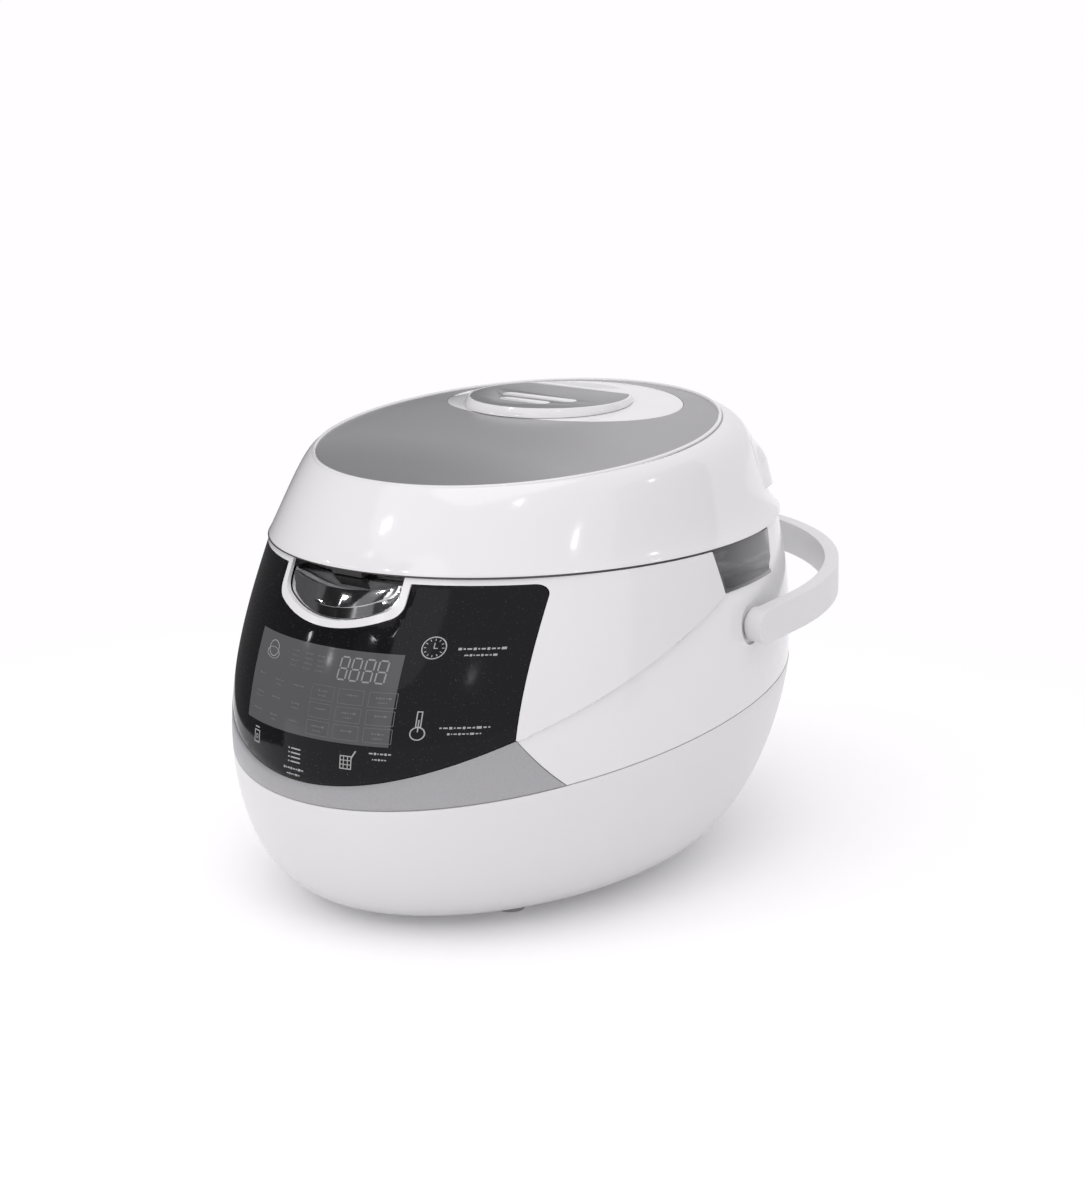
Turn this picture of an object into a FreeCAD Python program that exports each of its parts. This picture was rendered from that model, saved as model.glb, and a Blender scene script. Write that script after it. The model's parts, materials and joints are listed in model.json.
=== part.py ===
"""Oval multicooker with a hinged lid, a lid button and a folding carry handle.

Millimetres, +Z up, front towards -Y. The origin is on the table, under the middle of the whole object
with its handle folded back. Heights are measured from the table, and distances along Y from the axis of
the pot, which stands at plan_y.
"""
import FreeCAD, Part
import Sketcher
import os
import re

SIZES = {
    # Plan: the pot's axis, and the walls
    "plan_y": -25.25,
    "wall": 3.0,
    "seam_gap": 0.6,
    "fit_gap": 0.3,
    "far": 230.0,
    # Body sections: height, half width, reach to the front and reach to the rear
    "pan_level": 6.0, "pan_half": 86.0, "pan_front": 136.0, "pan_rear": 128.0,
    "bilge_level": 20.0, "bilge_half": 113.0, "bilge_front": 158.0, "bilge_rear": 145.0,
    "hip_level": 50.0, "hip_half": 131.0, "hip_front": 172.0, "hip_rear": 168.0,
    "waist_level": 100.0, "waist_half": 140.0, "waist_front": 176.0, "waist_rear": 191.0,
    "chest_level": 148.0, "chest_half": 138.5, "chest_front": 163.5, "chest_rear": 193.0,
    "rim_level": 192.0, "rim_half": 131.5, "rim_front": 143.0, "rim_rear": 181.0,
    # Lid sections, each tilted up towards the rear
    "skirt_level": 193.2, "skirt_half": 131.5, "skirt_front": 144.5, "skirt_rear": 182.0, "skirt_tilt": 0.0,
    "cheek_level": 216.0, "cheek_half": 122.0, "cheek_front": 133.5, "cheek_rear": 166.0, "cheek_tilt": 1.5,
    "brow_level": 238.0, "brow_half": 114.5, "brow_front": 118.0, "brow_rear": 151.0, "brow_tilt": 3.0,
    "crown_level": 243.5, "crown_half": 106.0, "crown_front": 114.0, "crown_rear": 131.0, "crown_tilt": 5.0,
    "dome_rise": 12.0, "dome_ball": 90.0, "dome_wall": 2.5,
    # Seam between base and upper body: a very large arc seen from the side
    "seam_radius": 2778.0, "seam_apex_y": 264.0, "seam_apex_level": 110.8,
    # Touch panel and trim, seen from the front
    "panel_half": 97.5, "panel_low": 87.2, "panel_round": 195.0, "panel_top": 189.0, "panel_corner": 6.0,
    "trim_top": 113.2, "trim_low": 70.0, "trim_top_half": 97.6, "trim_low_half": 123.3,
    # Bezel round the lid button, and the button
    "bezel_half": 41.8, "bezel_low": 164.7, "bezel_round": 95.0, "bezel_corner": 8.0,
    "button_half": 38.0, "button_low": 168.2, "button_round": 80.0, "button_corner": 8.0,
    "button_top": 187.4, "button_inset": 3.0, "button_depth": 13.0, "button_way_y": 122.0,
    "thumb_half": 34.0, "thumb_low": 174.2, "thumb_round": 72.0, "thumb_corner": 7.0, "thumb_inset": 0.4,
    "slope_y": 137.0, "slope_run": 40.0, "slope_fall": 16.8,
    # Side window under the lid, seen from the side, and its trough
    "window_low_y": 11.6, "window_level": 168.0, "window_top_y": 4.0, "window_rear_y": 70.0,
    "window_rear_top_y": 75.5, "window_top": 196.0,
    "trough_back": 117.0, "trough_wall": 2.0, "trough_inset": 0.8, "scoop_radius": 169.5, "scoop_y": 20.0,
    # Pot, jacket and deck
    "pot_radius": 103.0, "pot_wall": 2.0, "pot_floor": 52.0, "pot_rim": 188.5, "pot_flange": 115.0,
    "pot_corner": 18.0,
    "jacket_radius": 110.0, "jacket_wall": 1.0, "jacket_floor": 34.0, "jacket_flange": 117.0,
    "deck_level": 183.0, "deck_thick": 3.0, "deck_hole": 112.5,
    # Heating plate, element and thermostat
    "plate_radius": 92.0, "plate_low": 40.0, "plate_hole": 24.0,
    "element_radius": 50.0, "element_tube": 4.0, "element_level": 42.0,
    "spacer_ring": 64.0, "spacer_radius": 6.0,
    "sensor_radius": 21.0, "sensor_gap": 0.2, "stem_radius": 3.9, "stem_hole": 4.0,
    # Feet, posts and base screws
    "foot_x": 58.0, "foot_y": 76.0, "foot_radius": 8.0,
    "post_x": 70.0, "post_y": 35.0, "post_radius": 6.0, "screw_radius": 2.0, "screw_head": 4.0,
    # Hinge
    "hinge_y": 189.0, "hinge_level": 198.0, "pin_radius": 3.0, "pin_fit": 3.06, "pin_half": 28.5,
    "tower_in": 20.0, "tower_out": 28.0, "tower_radius": 6.0,
    "knuckle_in": 11.0, "knuckle_out": 19.2, "knuckle_radius": 5.5,
    "rear_cover_y": 95.0, "rear_cover_low": 207.0, "rear_cover_top": 236.0, "rear_cover_proud": 5.0,
    # Lid inside
    "liner_low": 196.0, "liner_thick": 3.0, "inner_plate_radius": 104.0, "inner_plate_low": 192.0,
    "inner_plate_thick": 1.5, "gasket_out": 113.0, "gasket_low": 188.8,
    "lid_post_x": 52.0, "lid_post_y": 118.0, "lid_post_rear_x": 75.0, "lid_post_rear_y": 120.0,
    # Vent
    "vent_y": 51.0, "vent_half": 70.5, "vent_depth": 61.3,
    "cap_y": 36.5, "cap_radius": 46.2, "cap_foot": 53.0, "cap_high": 14.0, "cap_level": 259.2, "cap_tilt": 0.5,
    "cup_hole": 40.0,
    "inlay_radius": 44.9, "inlay_rear_y": 64.0, "inlay_thick": 1.0,
    "bar_width": 9.5, "bar_long": 50.0, "bar_short": 33.0, "bar_long_y": 27.0, "bar_short_y": 13.4,
    "cup_radius": 32.0, "cup_low": 205.0, "cup_top": 251.0,
    # Carry handle
    "pivot_y": 39.0, "pivot_level": 146.5, "swing_rest": 2.6, "grip_half": 146.5, "grip_reach": 188.0,
    "grip_straight": 30.0, "grip_thick": 8.0, "grip_height": 19.0,
    "trunnion_radius": 7.0, "trunnion_fit": 7.06, "trunnion_end": 123.6, "pad_radius": 13.0,
    "pad_end": 124.0, "boss_recess": 11.5, "recess_floor": 136.3, "boss_inner": 136.8,
    # Boards and inlet
    "board_lean": 14.0, "board_half": 60.0, "board_height": 62.0, "board_thick": 1.6,
    "board_y": -149.0, "board_level": 102.0,
    "mains_board_y": 128.0, "mains_board_half": 55.0, "mains_board_low": 52.0, "mains_board_top": 115.0,
    "inlet_half": 24.8, "inlet_low": 23.2, "inlet_top": 48.8, "inlet_front": 116.0, "inlet_rear": 146.0,
}

BODY_SECTIONS = ("pan", "bilge", "hip", "waist", "chest", "rim")
LID_SECTIONS = ("skirt", "cheek", "brow", "crown")
SIDES = (("right", 1), ("left", -1))

doc = FreeCAD.newDocument("multicooker")
sizes = doc.addObject("Spreadsheet::Sheet", "sizes")
for row, (alias, value) in enumerate(SIZES.items(), start=1):
    sizes.set(f"A{row}", alias.replace("_", " "))
    sizes.set(f"B{row}", str(value))
    sizes.setAlias(f"B{row}", alias)
doc.recompute()

sub_parts = []


def spelled(formula):
    """Write a formula with the sheet's name before each of its aliases."""
    def owner(word):
        return "sizes." + word[0] if word[0] in SIZES else word[0]
    return re.sub(r"[a-z][a-z_]*", owner, str(formula))


def bind(thing, **formulas):
    """Bind an object's properties to formulas of the sheet."""
    for name, formula in formulas.items():
        thing.setExpression(name, spelled(formula))


def place(thing, x=0, y=0, z=0, yaw=0, pitch=0, roll=0):
    """Bind an object's placement to formulas of the sheet."""
    spot = f"vector({x}; {y}; {z})"
    turn = f"rotation({yaw}; {pitch}; {roll})"
    bind(thing, Placement=f"placement({spot}; {turn})")


def sub_part(node, thing):
    """Name an object as one piece of the multicooker."""
    thing.Label = node
    sub_parts.append(thing)
    return thing


def block(name, x, y, z):
    """A box between a low and a high formula along each axis."""
    box = doc.addObject("Part::Box", name)
    bind(box, Length=f"({x[1]}) - ({x[0]})", Width=f"({y[1]}) - ({y[0]})", Height=f"({z[1]}) - ({z[0]})")
    place(box, x[0], y[0], z[0])
    return box


def rod(name, radius, length, at, along="z"):
    """A cylinder that starts at a point and runs along one axis."""
    turns = {"x": {"pitch": 90}, "y": {"roll": -90}, "z": {}}
    cylinder = doc.addObject("Part::Cylinder", name)
    bind(cylinder, Radius=radius, Height=length)
    place(cylinder, *at, **turns[along])
    return cylinder


def fuse(name, *shapes):
    """Join shapes into one."""
    whole = doc.addObject("Part::MultiFuse", name)
    whole.Shapes = list(shapes)
    return whole


def common(name, *shapes):
    """Keep what all the shapes share."""
    shared = doc.addObject("Part::MultiCommon", name)
    shared.Shapes = list(shapes)
    return shared


def group(name, *shapes):
    """Hold separate solids together as one set."""
    kept = doc.addObject("Part::Compound", name)
    kept.Links = list(shapes)
    return kept


def cut(name, base, *tools):
    """Take one or more tools away from a base, one after the other."""
    for index, tool in enumerate(tools, start=1):
        rest = doc.addObject("Part::Cut", name if index == len(tools) else f"{name}_step_{index}")
        rest.Base = base
        rest.Tool = tool
        base = rest
    return rest


def rounded(name, base, radius, chosen):
    """Round the edges of a base that the test chooses."""
    doc.recompute()
    fillet = doc.addObject("Part::Fillet", name)
    fillet.Base = base
    size = sizes.get(radius)
    fillet.Edges = [(index, size, size) for index, edge in enumerate(base.Shape.Edges, start=1) if chosen(edge)]
    return fillet


def runs_along_y(edge):
    """Whether an edge is a straight line along Y."""
    return edge.Curve.TypeId == "Part::GeomLine" and abs(edge.tangentAt(edge.FirstParameter).y) > 0.999


def section(name, station, shrink=0, lift=0):
    """One oval section of the body or the lid, drawn in by shrink."""
    oval = doc.addObject("Part::Ellipse", name)
    bind(oval, MajorRadius=f"({station}_front + {station}_rear) / 2 - ({shrink})",
         MinorRadius=f"{station}_half - ({shrink})")
    tilt = f"-{station}_tilt" if station + "_tilt" in SIZES else 0
    place(oval, 0, f"plan_y + ({station}_rear - {station}_front) / 2", f"{station}_level + ({lift})",
          yaw=90, pitch=tilt)
    return oval


def skin_form(name, stations, shrinks, low_lift=0, high_lift=0):
    """A solid through oval sections, each drawn in by its own amount."""
    if not isinstance(shrinks, (list, tuple)):
        shrinks = [shrinks] * len(stations)
    lifts = [low_lift] + [0] * (len(stations) - 2) + [high_lift]
    form = doc.addObject("Part::Loft", name)
    form.Sections = [section(f"{name}_{station}", station, shrink, lift)
                     for station, shrink, lift in zip(stations, shrinks, lifts)]
    form.Solid = True
    form.Ruled = False
    return form


def oval_bar(name, half_x, half_y, height, at, lean=0):
    """An upright oval bar, longer along Y than along X, leaned about X."""
    oval = doc.addObject("Part::Ellipse", name + "_oval")
    bind(oval, MajorRadius=half_y, MinorRadius=half_x)
    place(oval, *at, yaw=90, pitch=f"-({lean})")
    bar = doc.addObject("Part::Extrusion", name)
    bar.Base = oval
    bar.DirMode = "Normal"
    bar.Solid = True
    bind(bar, LengthFwd=height)
    return bar


def origin_plane(body, role):
    """One of a body's own origin planes."""
    return next(plane for plane in body.Origin.OriginFeatures if plane.Role == role)


def outlined(body, name, plane, corners):
    """A closed outline of straight lines whose corners are formulas of the sheet."""
    sketch = body.newObject("Sketcher::SketchObject", name)
    sketch.AttachmentSupport = (origin_plane(body, plane), [""])
    sketch.MapMode = "FlatFace"
    spots = [FreeCAD.Vector(number(across), number(up), 0) for across, up in corners]
    for start, end in zip(spots, spots[1:] + spots[:1]):
        sketch.addGeometry(Part.LineSegment(start, end), False)
    count = len(corners)
    for index in range(count):
        sketch.addConstraint(Sketcher.Constraint("Coincident", index, 2, (index + 1) % count, 1))
    for index, formulas in enumerate(corners):
        for kind, axis, formula in zip(("DistanceX", "DistanceY"), (-2, -1), formulas):
            if abs(number(formula)) < 1e-9:
                sketch.addConstraint(Sketcher.Constraint("PointOnObject", index, 1, axis))
                continue
            made = sketch.addConstraint(Sketcher.Constraint(kind, -1, 1, index, 1, number(formula)))
            sketch.renameConstraint(made, f"{kind}_{index}")
            sketch.setExpression(f"Constraints.{kind}_{index}", spelled(formula))
    return sketch


def number(formula):
    """The value that a formula of the sheet has."""
    return float(sizes.evalExpression(spelled(formula).replace("sizes.", "")))


def turned(name, outline, x=0, y="plan_y"):
    """A body turned about an upright axis from an outline of radius and height."""
    body = doc.addObject("PartDesign::Body", name)
    profile = outlined(body, name + "_profile", "XZ_Plane", outline)
    turn = body.newObject("PartDesign::Revolution", name + "_turn")
    turn.Profile = profile
    turn.ReferenceAxis = (profile, ["V_Axis"])
    turn.Angle = 360
    place(body, x, y, 0)
    return body


def profiled(name, outline, width, x):
    """A body padded along X from an outline of Y, measured from the pot's axis, and height."""
    body = doc.addObject("PartDesign::Body", name)
    profile = outlined(body, name + "_profile", "YZ_Plane", outline)
    pad = body.newObject("PartDesign::Pad", name + "_pad")
    pad.Profile = profile
    bind(pad, Length=width)
    place(body, x, "plan_y", 0)
    return body


def softened(body, radius, chosen):
    """Round the edges of a body's last feature that the test chooses."""
    doc.recompute()
    base = body.Tip
    names = [f"Edge{index}" for index, edge in enumerate(base.Shape.Edges, start=1) if chosen(edge)]
    fillet = body.newObject("PartDesign::Fillet", body.Name + "_soft")
    fillet.Base = (base, names)
    bind(fillet, Radius=radius)
    return fillet


def circle_at(edge, radius, level):
    """Whether an edge is a circle of a radius at a height."""
    is_circle = edge.Curve.TypeId == "Part::GeomCircle"
    return is_circle and abs(edge.Curve.Radius - radius) < 0.01 and abs(edge.Curve.Center.z - level) < 0.01


def coil(name, radius, wire, length, turns, at, along="z"):
    """A round-wire spring about an axis that starts at a point."""
    x, y, z = at
    helix = doc.addObject("Part::Helix", name + "_line")
    bind(helix, Pitch=f"({length}) / ({turns})", Height=length, Radius=radius)
    ring = doc.addObject("Part::Circle", name + "_ring")
    bind(ring, Radius=f"({wire}) / 2")
    if along == "x":
        place(helix, x, y, z, pitch=90)
        place(ring, x, y, f"{z} - ({radius})", roll=90)
    elif along == "y":
        place(helix, x, y, z, roll=-90)
        place(ring, f"{x} + ({radius})", y, z)
    else:
        place(helix, x, y, z)
        place(ring, f"{x} + ({radius})", y, z, roll=90)
    spring = doc.addObject("Part::Sweep", name)
    spring.Sections = [ring]
    spring.Spine = (helix, [])
    spring.Solid = True
    spring.Frenet = True
    return spring


def front_block(name, half, low, high):
    """A box across the front, from far outside to just before the pot."""
    return block(name, (f"-({half})", half), ("-far", "plan_y - 40"), (low, high))


def front_rod(name, radius, level):
    """A cylinder along Y through the front."""
    return rod(name, radius, "far + plan_y - 40", (0, "-far", level), "y")


def side_rod(name, side, radius, near, outer, y, level):
    """A cylinder along X on one side, from a near to an outer distance."""
    start = near if side > 0 else f"-({outer})"
    return rod(name, radius, f"({outer}) - ({near})", (start, f"plan_y + ({y})", level), "x")


def side_block(name, side, near, outer, y, z):
    """A box on one side, from a near to an outer distance, with Y measured from the pot's axis."""
    x = (near, outer) if side > 0 else (f"-({outer})", f"-({near})")
    return block(name, x, (f"plan_y + ({y[0]})", f"plan_y + ({y[1]})"), z)


def pot_block(name, half, y, z):
    """A box across the middle, with Y measured from the pot's axis."""
    return side_block(name, 1, f"-({half})", half, y, z)


# Forms of the body and the lid that several pieces share
body_form = skin_form("body_form", BODY_SECTIONS, 0)
body_hollow = skin_form("body_hollow", BODY_SECTIONS, "wall", low_lift="wall", high_lift="wall")
body_skin = cut("body_skin", body_form, body_hollow)
lid_form = skin_form("lid_form", LID_SECTIONS, 0)
lid_hollow = skin_form("lid_hollow", LID_SECTIONS, ("wall", "wall", "wall", "wall + 2"), low_lift="-wall",
                       high_lift=1)


# Openings of the front, seen from the front
def panel_bar(name, grow):
    """The touch panel's outline through the front: round below, with rounded top corners."""
    sides = front_block(name + "_sides", f"panel_half + {grow}", "panel_low - 20", f"panel_top + {grow}")
    below = front_rod(name + "_below", f"panel_round + {grow}", "panel_low + panel_round")
    top = number(f"panel_top + {grow}")
    whole = common(name + "_whole", sides, below)
    return rounded(name, whole, "panel_corner",
                   lambda edge: runs_along_y(edge) and abs(edge.CenterOfMass.z - top) < 0.01)


def pouch_bar(name, kind, grow):
    """The bezel's or the button's outline through the front: open above, with a round pouch below."""
    sides = front_block(name + "_sides", f"{kind}_half + {grow}", f"{kind}_low - 10", "far")
    below = front_rod(name + "_below", f"{kind}_round + {grow}", f"{kind}_low + {kind}_round")
    rim = number("rim_level")
    whole = common(name + "_whole", sides, below)
    return rounded(name, whole, f"{kind}_corner", lambda edge: runs_along_y(edge) and edge.CenterOfMass.z < rim)


def trim_bar(name, grow):
    """The trim's outline through the front: wider below than above."""
    wedge = doc.addObject("Part::Wedge", name)
    bind(wedge, Ymin="trim_low", Ymax=f"trim_top + {grow}", Zmin="40 - plan_y", Zmax="far", Z2min="40 - plan_y",
         Z2max="far", Xmin=f"-trim_low_half - {grow}", Xmax=f"trim_low_half + {grow}",
         X2min=f"-trim_top_half - {grow}", X2max=f"trim_top_half + {grow}")
    place(wedge, roll=90)
    return wedge


def seam_bar(name, grow):
    """What lies under the seam between base and upper body."""
    return rod(name, f"seam_radius + {grow}", "2 * far",
               ("-far", "plan_y + seam_apex_y", "seam_apex_level - seam_radius"), "x")


def window_bar(name, side, near, inset):
    """The outline of the side window, seen from the side, from a near distance outwards."""
    outline = ((f"window_top_y + {inset}", "window_top"), (f"window_low_y + {inset}", f"window_level + {inset}"),
               (f"window_rear_y - {inset}", f"window_level + {inset}"),
               (f"window_rear_top_y - {inset}", "window_top"))
    start = near if side > 0 else "-far"
    return profiled(name, outline, f"far - ({near})", start)


under_seam = seam_bar("under_seam", 0)
under_upper = seam_bar("under_upper", "seam_gap")
panel_room = panel_bar("panel_room", "fit_gap / 2")
button_room = pouch_bar("button_room", "button", 0)
windows = [window_bar(f"window_{name}", side, 100, 0) for name, side in SIDES]


def base_shell():
    """Lower shell with the floor, the posts for the jacket and the slots for air."""
    walls = common("base_walls", body_skin, under_seam)
    spots = [(x, y) for x in ("post_x", "-post_x") for y in ("plan_y + post_y", "plan_y - post_y")]
    posts = [rod(f"post_{index}", "post_radius", "jacket_floor - pan_level", (x, y, "pan_level"))
             for index, (x, y) in enumerate(spots)]
    bores = [rod(f"post_bore_{index}", "screw_radius", "jacket_floor", (x, y, 0))
             for index, (x, y) in enumerate(spots)]
    seats = [rod(f"post_seat_{index}", "screw_head", "2 * wall", (x, y, "pan_level - wall"))
             for index, (x, y) in enumerate(spots)]
    slots = [pot_block(f"air_slot_{index}", 22, (f"{12 * index} - 2", f"{12 * index} + 2"),
                       ("pan_level - 1", "pan_level + 2 * wall")) for index in range(-2, 3)]
    inlet_hole = pot_block("inlet_hole", "inlet_half", ("inlet_front", "far"), ("inlet_low", "inlet_top"))
    whole = fuse("base_whole", walls, *posts)
    sub_part("base_shell", cut("base_shell", whole, inlet_hole, *bores, *seats, *slots))


def upper_body_shell():
    """Upper shell with the bezel, the side windows, the handle's bearings and the hinge towers."""
    panel_hole = cut("panel_hole", panel_room, pouch_bar("bezel_bar", "bezel", 0))
    trim_hole = trim_bar("trim_hole", "fit_gap")
    walls = cut("upper_walls", body_skin, under_upper, panel_hole, trim_hole, button_room, *windows)
    pads = [side_rod(f"pad_{name}", side, "pad_radius", "pad_end", "chest_half + 10", "pivot_y", "pivot_level")
            for name, side in SIDES]
    within_wall = skin_form("upper_middle", BODY_SECTIONS, "wall * 2 / 3")
    bearings = [common(f"bearing_{pad.Name}", pad, within_wall) for pad in pads]
    towers = []
    for name, side in SIDES:
        roots = side_block(f"tower_root_{name}", side, "tower_in", "tower_out",
                           ("rim_rear - wall + 1", "hinge_y + tower_radius"), ("chest_level + 16", "rim_level - 0.5"))
        stem = side_block(f"tower_stem_{name}", side, "tower_in", "tower_out",
                          ("hinge_y - tower_radius", "hinge_y + tower_radius"), ("rim_level - 2", "hinge_level"))
        eye = side_rod(f"tower_eye_{name}", side, "tower_radius", "tower_in", "tower_out", "hinge_y", "hinge_level")
        towers += [roots, stem, eye]
    recesses = [side_rod(f"boss_room_{name}", side, "boss_recess", "recess_floor", "far", "pivot_y", "pivot_level")
                for name, side in SIDES]
    bores = [side_rod(f"bearing_bore_{name}", side, "trunnion_fit", 100, "far", "pivot_y", "pivot_level")
             for name, side in SIDES]
    pin_bore = rod("pin_bore", "pin_radius", "2 * pin_half",
                   ("-pin_half", "plan_y + hinge_y", "hinge_level"), "x")
    whole = fuse("upper_whole", walls, *bearings, *towers)
    sub_part("upper_body_shell", cut("upper_body_shell", whole, *recesses, *bores, pin_bore))


def front_pieces():
    """Touch panel, silver trim below it, lid button and the slider with the hook behind the button."""
    glass = common("panel_skin", body_skin, panel_bar("panel_bar", "-fit_gap / 2"))
    sub_part("control_panel", cut("control_panel", glass, pouch_bar("bezel_room", "bezel", "fit_gap")))
    strip = common("trim_skin", body_skin, trim_bar("trim_bar", 0))
    sub_part("front_trim", cut("front_trim", strip, panel_room, under_upper))
    flange = common("button_flange", skin_form("button_outside", BODY_SECTIONS, "button_inset"),
                    pouch_bar("button_bar", "button", "-fit_gap"),
                    front_block("button_height", "button_half", "button_low", "button_top"))
    thumb = common("button_thumb", skin_form("thumb_outside", BODY_SECTIONS, "thumb_inset"),
                   pouch_bar("thumb_bar", "thumb", 0),
                   front_block("thumb_height", "thumb_half", "thumb_low", "button_top"))
    inside = skin_form("button_inside", BODY_SECTIONS, "button_depth", high_lift="wall")
    slope = profiled("button_slope", (
        ("-slope_y", "button_top"), ("-slope_y", "far"), ("-slope_y - slope_run", "far"),
        ("-slope_y - slope_run", "button_top - slope_fall")), "2 * far", "-far")
    sub_part("release_button", cut("release_button", fuse("button_whole", flange, thumb), inside, slope))
    stem = common("slider_stem", inside, pot_block("slider_block", 14, (-150, -126), (170, 177)))
    blade = pot_block("hook_blade", 10, (-129, -126), (170, 193))
    nose = pot_block("hook_nose", 10, (-131.4, -128), (190.6, 193))
    sub_part("latch_slider", fuse("latch_slider", stem, blade, nose))
    sub_part("button_spring", coil("button_spring", 4, 0.8, 5.8, 3.5, (0, "plan_y - 125.5", 173.5), "y"))


def condensate_troughs():
    """Grey troughs that line the side windows under the lid, deep in front and running out to the rear."""
    inset = skin_form("trough_outside", BODY_SECTIONS, "trough_inset")
    for name, side in SIDES:
        outer = window_bar(f"trough_bar_{name}", side, "trough_back", "0.2")
        mouth = window_bar(f"trough_mouth_{name}", side, "trough_back + trough_wall / 4", "0.2 + trough_wall")
        scoop = rod(f"trough_scoop_{name}", "scoop_radius", "far",
                    (f"{side} * (trough_back + trough_wall + scoop_radius)", "plan_y + scoop_y", 0))
        room = common(f"trough_room_{name}", mouth, scoop)
        tub = common(f"trough_tub_{name}", inset, outer)
        sub_part(f"condensate_trough_{name}", cut(f"condensate_trough_{name}", tub, room))


def top_deck():
    """Deck under the lid, with the seat of the latch spring."""
    sheet = oval_bar("deck_sheet", "rim_half - wall - fit_gap", "(rim_front + rim_rear) / 2 - wall - fit_gap",
                     "deck_thick", (0, "plan_y + (rim_rear - rim_front) / 2", "deck_level"))
    seat = pot_block("spring_seat", 10, (-119, -117.2), (166, "deck_level + 1"))
    mouth = rod("deck_mouth", "deck_hole", "far", (0, "plan_y", "deck_level - wall"))
    notches = [window_bar(f"deck_notch_{name}", side, "trough_back - fit_gap", 0) for name, side in SIDES]
    button_way = pot_block("button_way", "button_half + 1", ("-far", "-button_way_y"), ("deck_level - 1", "far"))
    blank = fuse("deck_blank", sheet, seat)
    sub_part("top_deck", cut("top_deck", blank, mouth, button_way, *notches))


def pot_and_heater():
    """Inner pot, jacket, heating plate with its element, and spacers."""
    pot = turned("inner_pot", (
        (0, "pot_floor"), ("pot_radius", "pot_floor"), ("pot_radius", "pot_rim - pot_wall"),
        ("pot_flange", "pot_rim - pot_wall"), ("pot_flange", "pot_rim"), ("pot_radius - pot_wall", "pot_rim"),
        ("pot_radius - pot_wall", "pot_floor + pot_wall"), (0, "pot_floor + pot_wall")))
    outer, floor, thick = (number(alias) for alias in ("pot_radius", "pot_floor", "pot_wall"))
    softened(pot, "pot_corner", lambda edge: circle_at(edge, outer, floor))
    inner_soft = softened(pot, "pot_corner - pot_wall",
                          lambda edge: circle_at(edge, outer - thick, floor + thick))
    pot.Tip = inner_soft
    sub_part("inner_pot", pot)
    sub_part("inner_jacket", cut("inner_jacket", turned("jacket_sheet", (
        (30, "jacket_floor"), ("jacket_radius", "jacket_floor"), ("jacket_radius", "deck_level - jacket_wall"),
        ("jacket_flange", "deck_level - jacket_wall"), ("jacket_flange", "deck_level"),
        ("jacket_radius - jacket_wall", "deck_level"),
        ("jacket_radius - jacket_wall", "jacket_floor + jacket_wall"), (30, "jacket_floor + jacket_wall"))),
        *screw_rods("jacket_bore", "screw_radius", "jacket_floor - 5", "jacket_floor + 5")))
    disc = turned("plate_disc", (
        ("plate_hole", "plate_low"), ("plate_radius", "plate_low"), ("plate_radius", "pot_floor - 2"),
        ("pot_radius - pot_corner", "pot_floor"), ("plate_hole", "pot_floor")))
    rings = []
    for name in ("element_groove", "heating_element"):
        ring = doc.addObject("Part::Torus", name)
        bind(ring, Radius1="element_radius", Radius2="element_tube")
        place(ring, 0, "plan_y", "element_level")
        rings.append(ring)
    sub_part("heating_plate", cut("heating_plate", disc, rings[0]))
    sub_part("heating_element", rings[1])
    spacers = [rod(f"spacer_{turn}", "spacer_radius", "plate_low - jacket_floor - jacket_wall",
                   (f"spacer_ring * cos({turn})", f"plan_y + spacer_ring * sin({turn})",
                    "jacket_floor + jacket_wall")) for turn in (90, 210, 330)]
    sub_part("plate_spacers", group("plate_spacers", *spacers))


def screw_rods(name, radius, low, high):
    """Four upright rods at the posts of the base."""
    spots = [(x, y) for x in ("post_x", "-post_x") for y in ("plan_y + post_y", "plan_y - post_y")]
    return [rod(f"{name}_{index}", radius, f"({high}) - ({low})", (x, y, low))
            for index, (x, y) in enumerate(spots)]


def thermostat():
    """Spring-loaded sensor that the pot presses down, with its housing."""
    sub_part("thermostat_housing", turned("thermostat_housing", (
        ("stem_hole", 18), (20, 18), (20, "jacket_floor - 1.5"), (36, "jacket_floor - 1.5"),
        (36, "jacket_floor"), (18, "jacket_floor"), (18, 20), ("stem_hole", 20))))
    sub_part("thermostat_sensor", turned("thermostat_sensor", (
        (0, 14), ("stem_radius", 14), ("stem_radius", 40), (10, 40), (10, 47), ("sensor_radius", 47),
        ("sensor_radius", "pot_floor - sensor_gap"), (0, "pot_floor - sensor_gap"))))
    sub_part("thermostat_spring", coil("thermostat_spring", 8, 1.2, 17.5, 5, (0, "plan_y", 21.2)))


def feet_and_screws():
    """Rubber feet, and the screws that hold the jacket to the base."""
    feet = [rod(f"foot_{index}", "foot_radius", "pan_level", (x, y, 0))
            for index, (x, y) in enumerate((x, y) for x in ("foot_x", "-foot_x")
                                           for y in ("plan_y + foot_y", "plan_y - foot_y"))]
    sub_part("feet", group("feet", *feet))
    shafts = screw_rods("base_screw_shaft", "screw_radius", "pan_level + wall", "jacket_floor + 4")
    heads = screw_rods("base_screw_head", "screw_head", "pan_level + 0.5", "pan_level + wall")
    screws = [fuse(f"base_screw_{index}", shaft, head) for index, (shaft, head) in enumerate(zip(shafts, heads))]
    sub_part("base_screws", group("base_screws", *screws))


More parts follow.
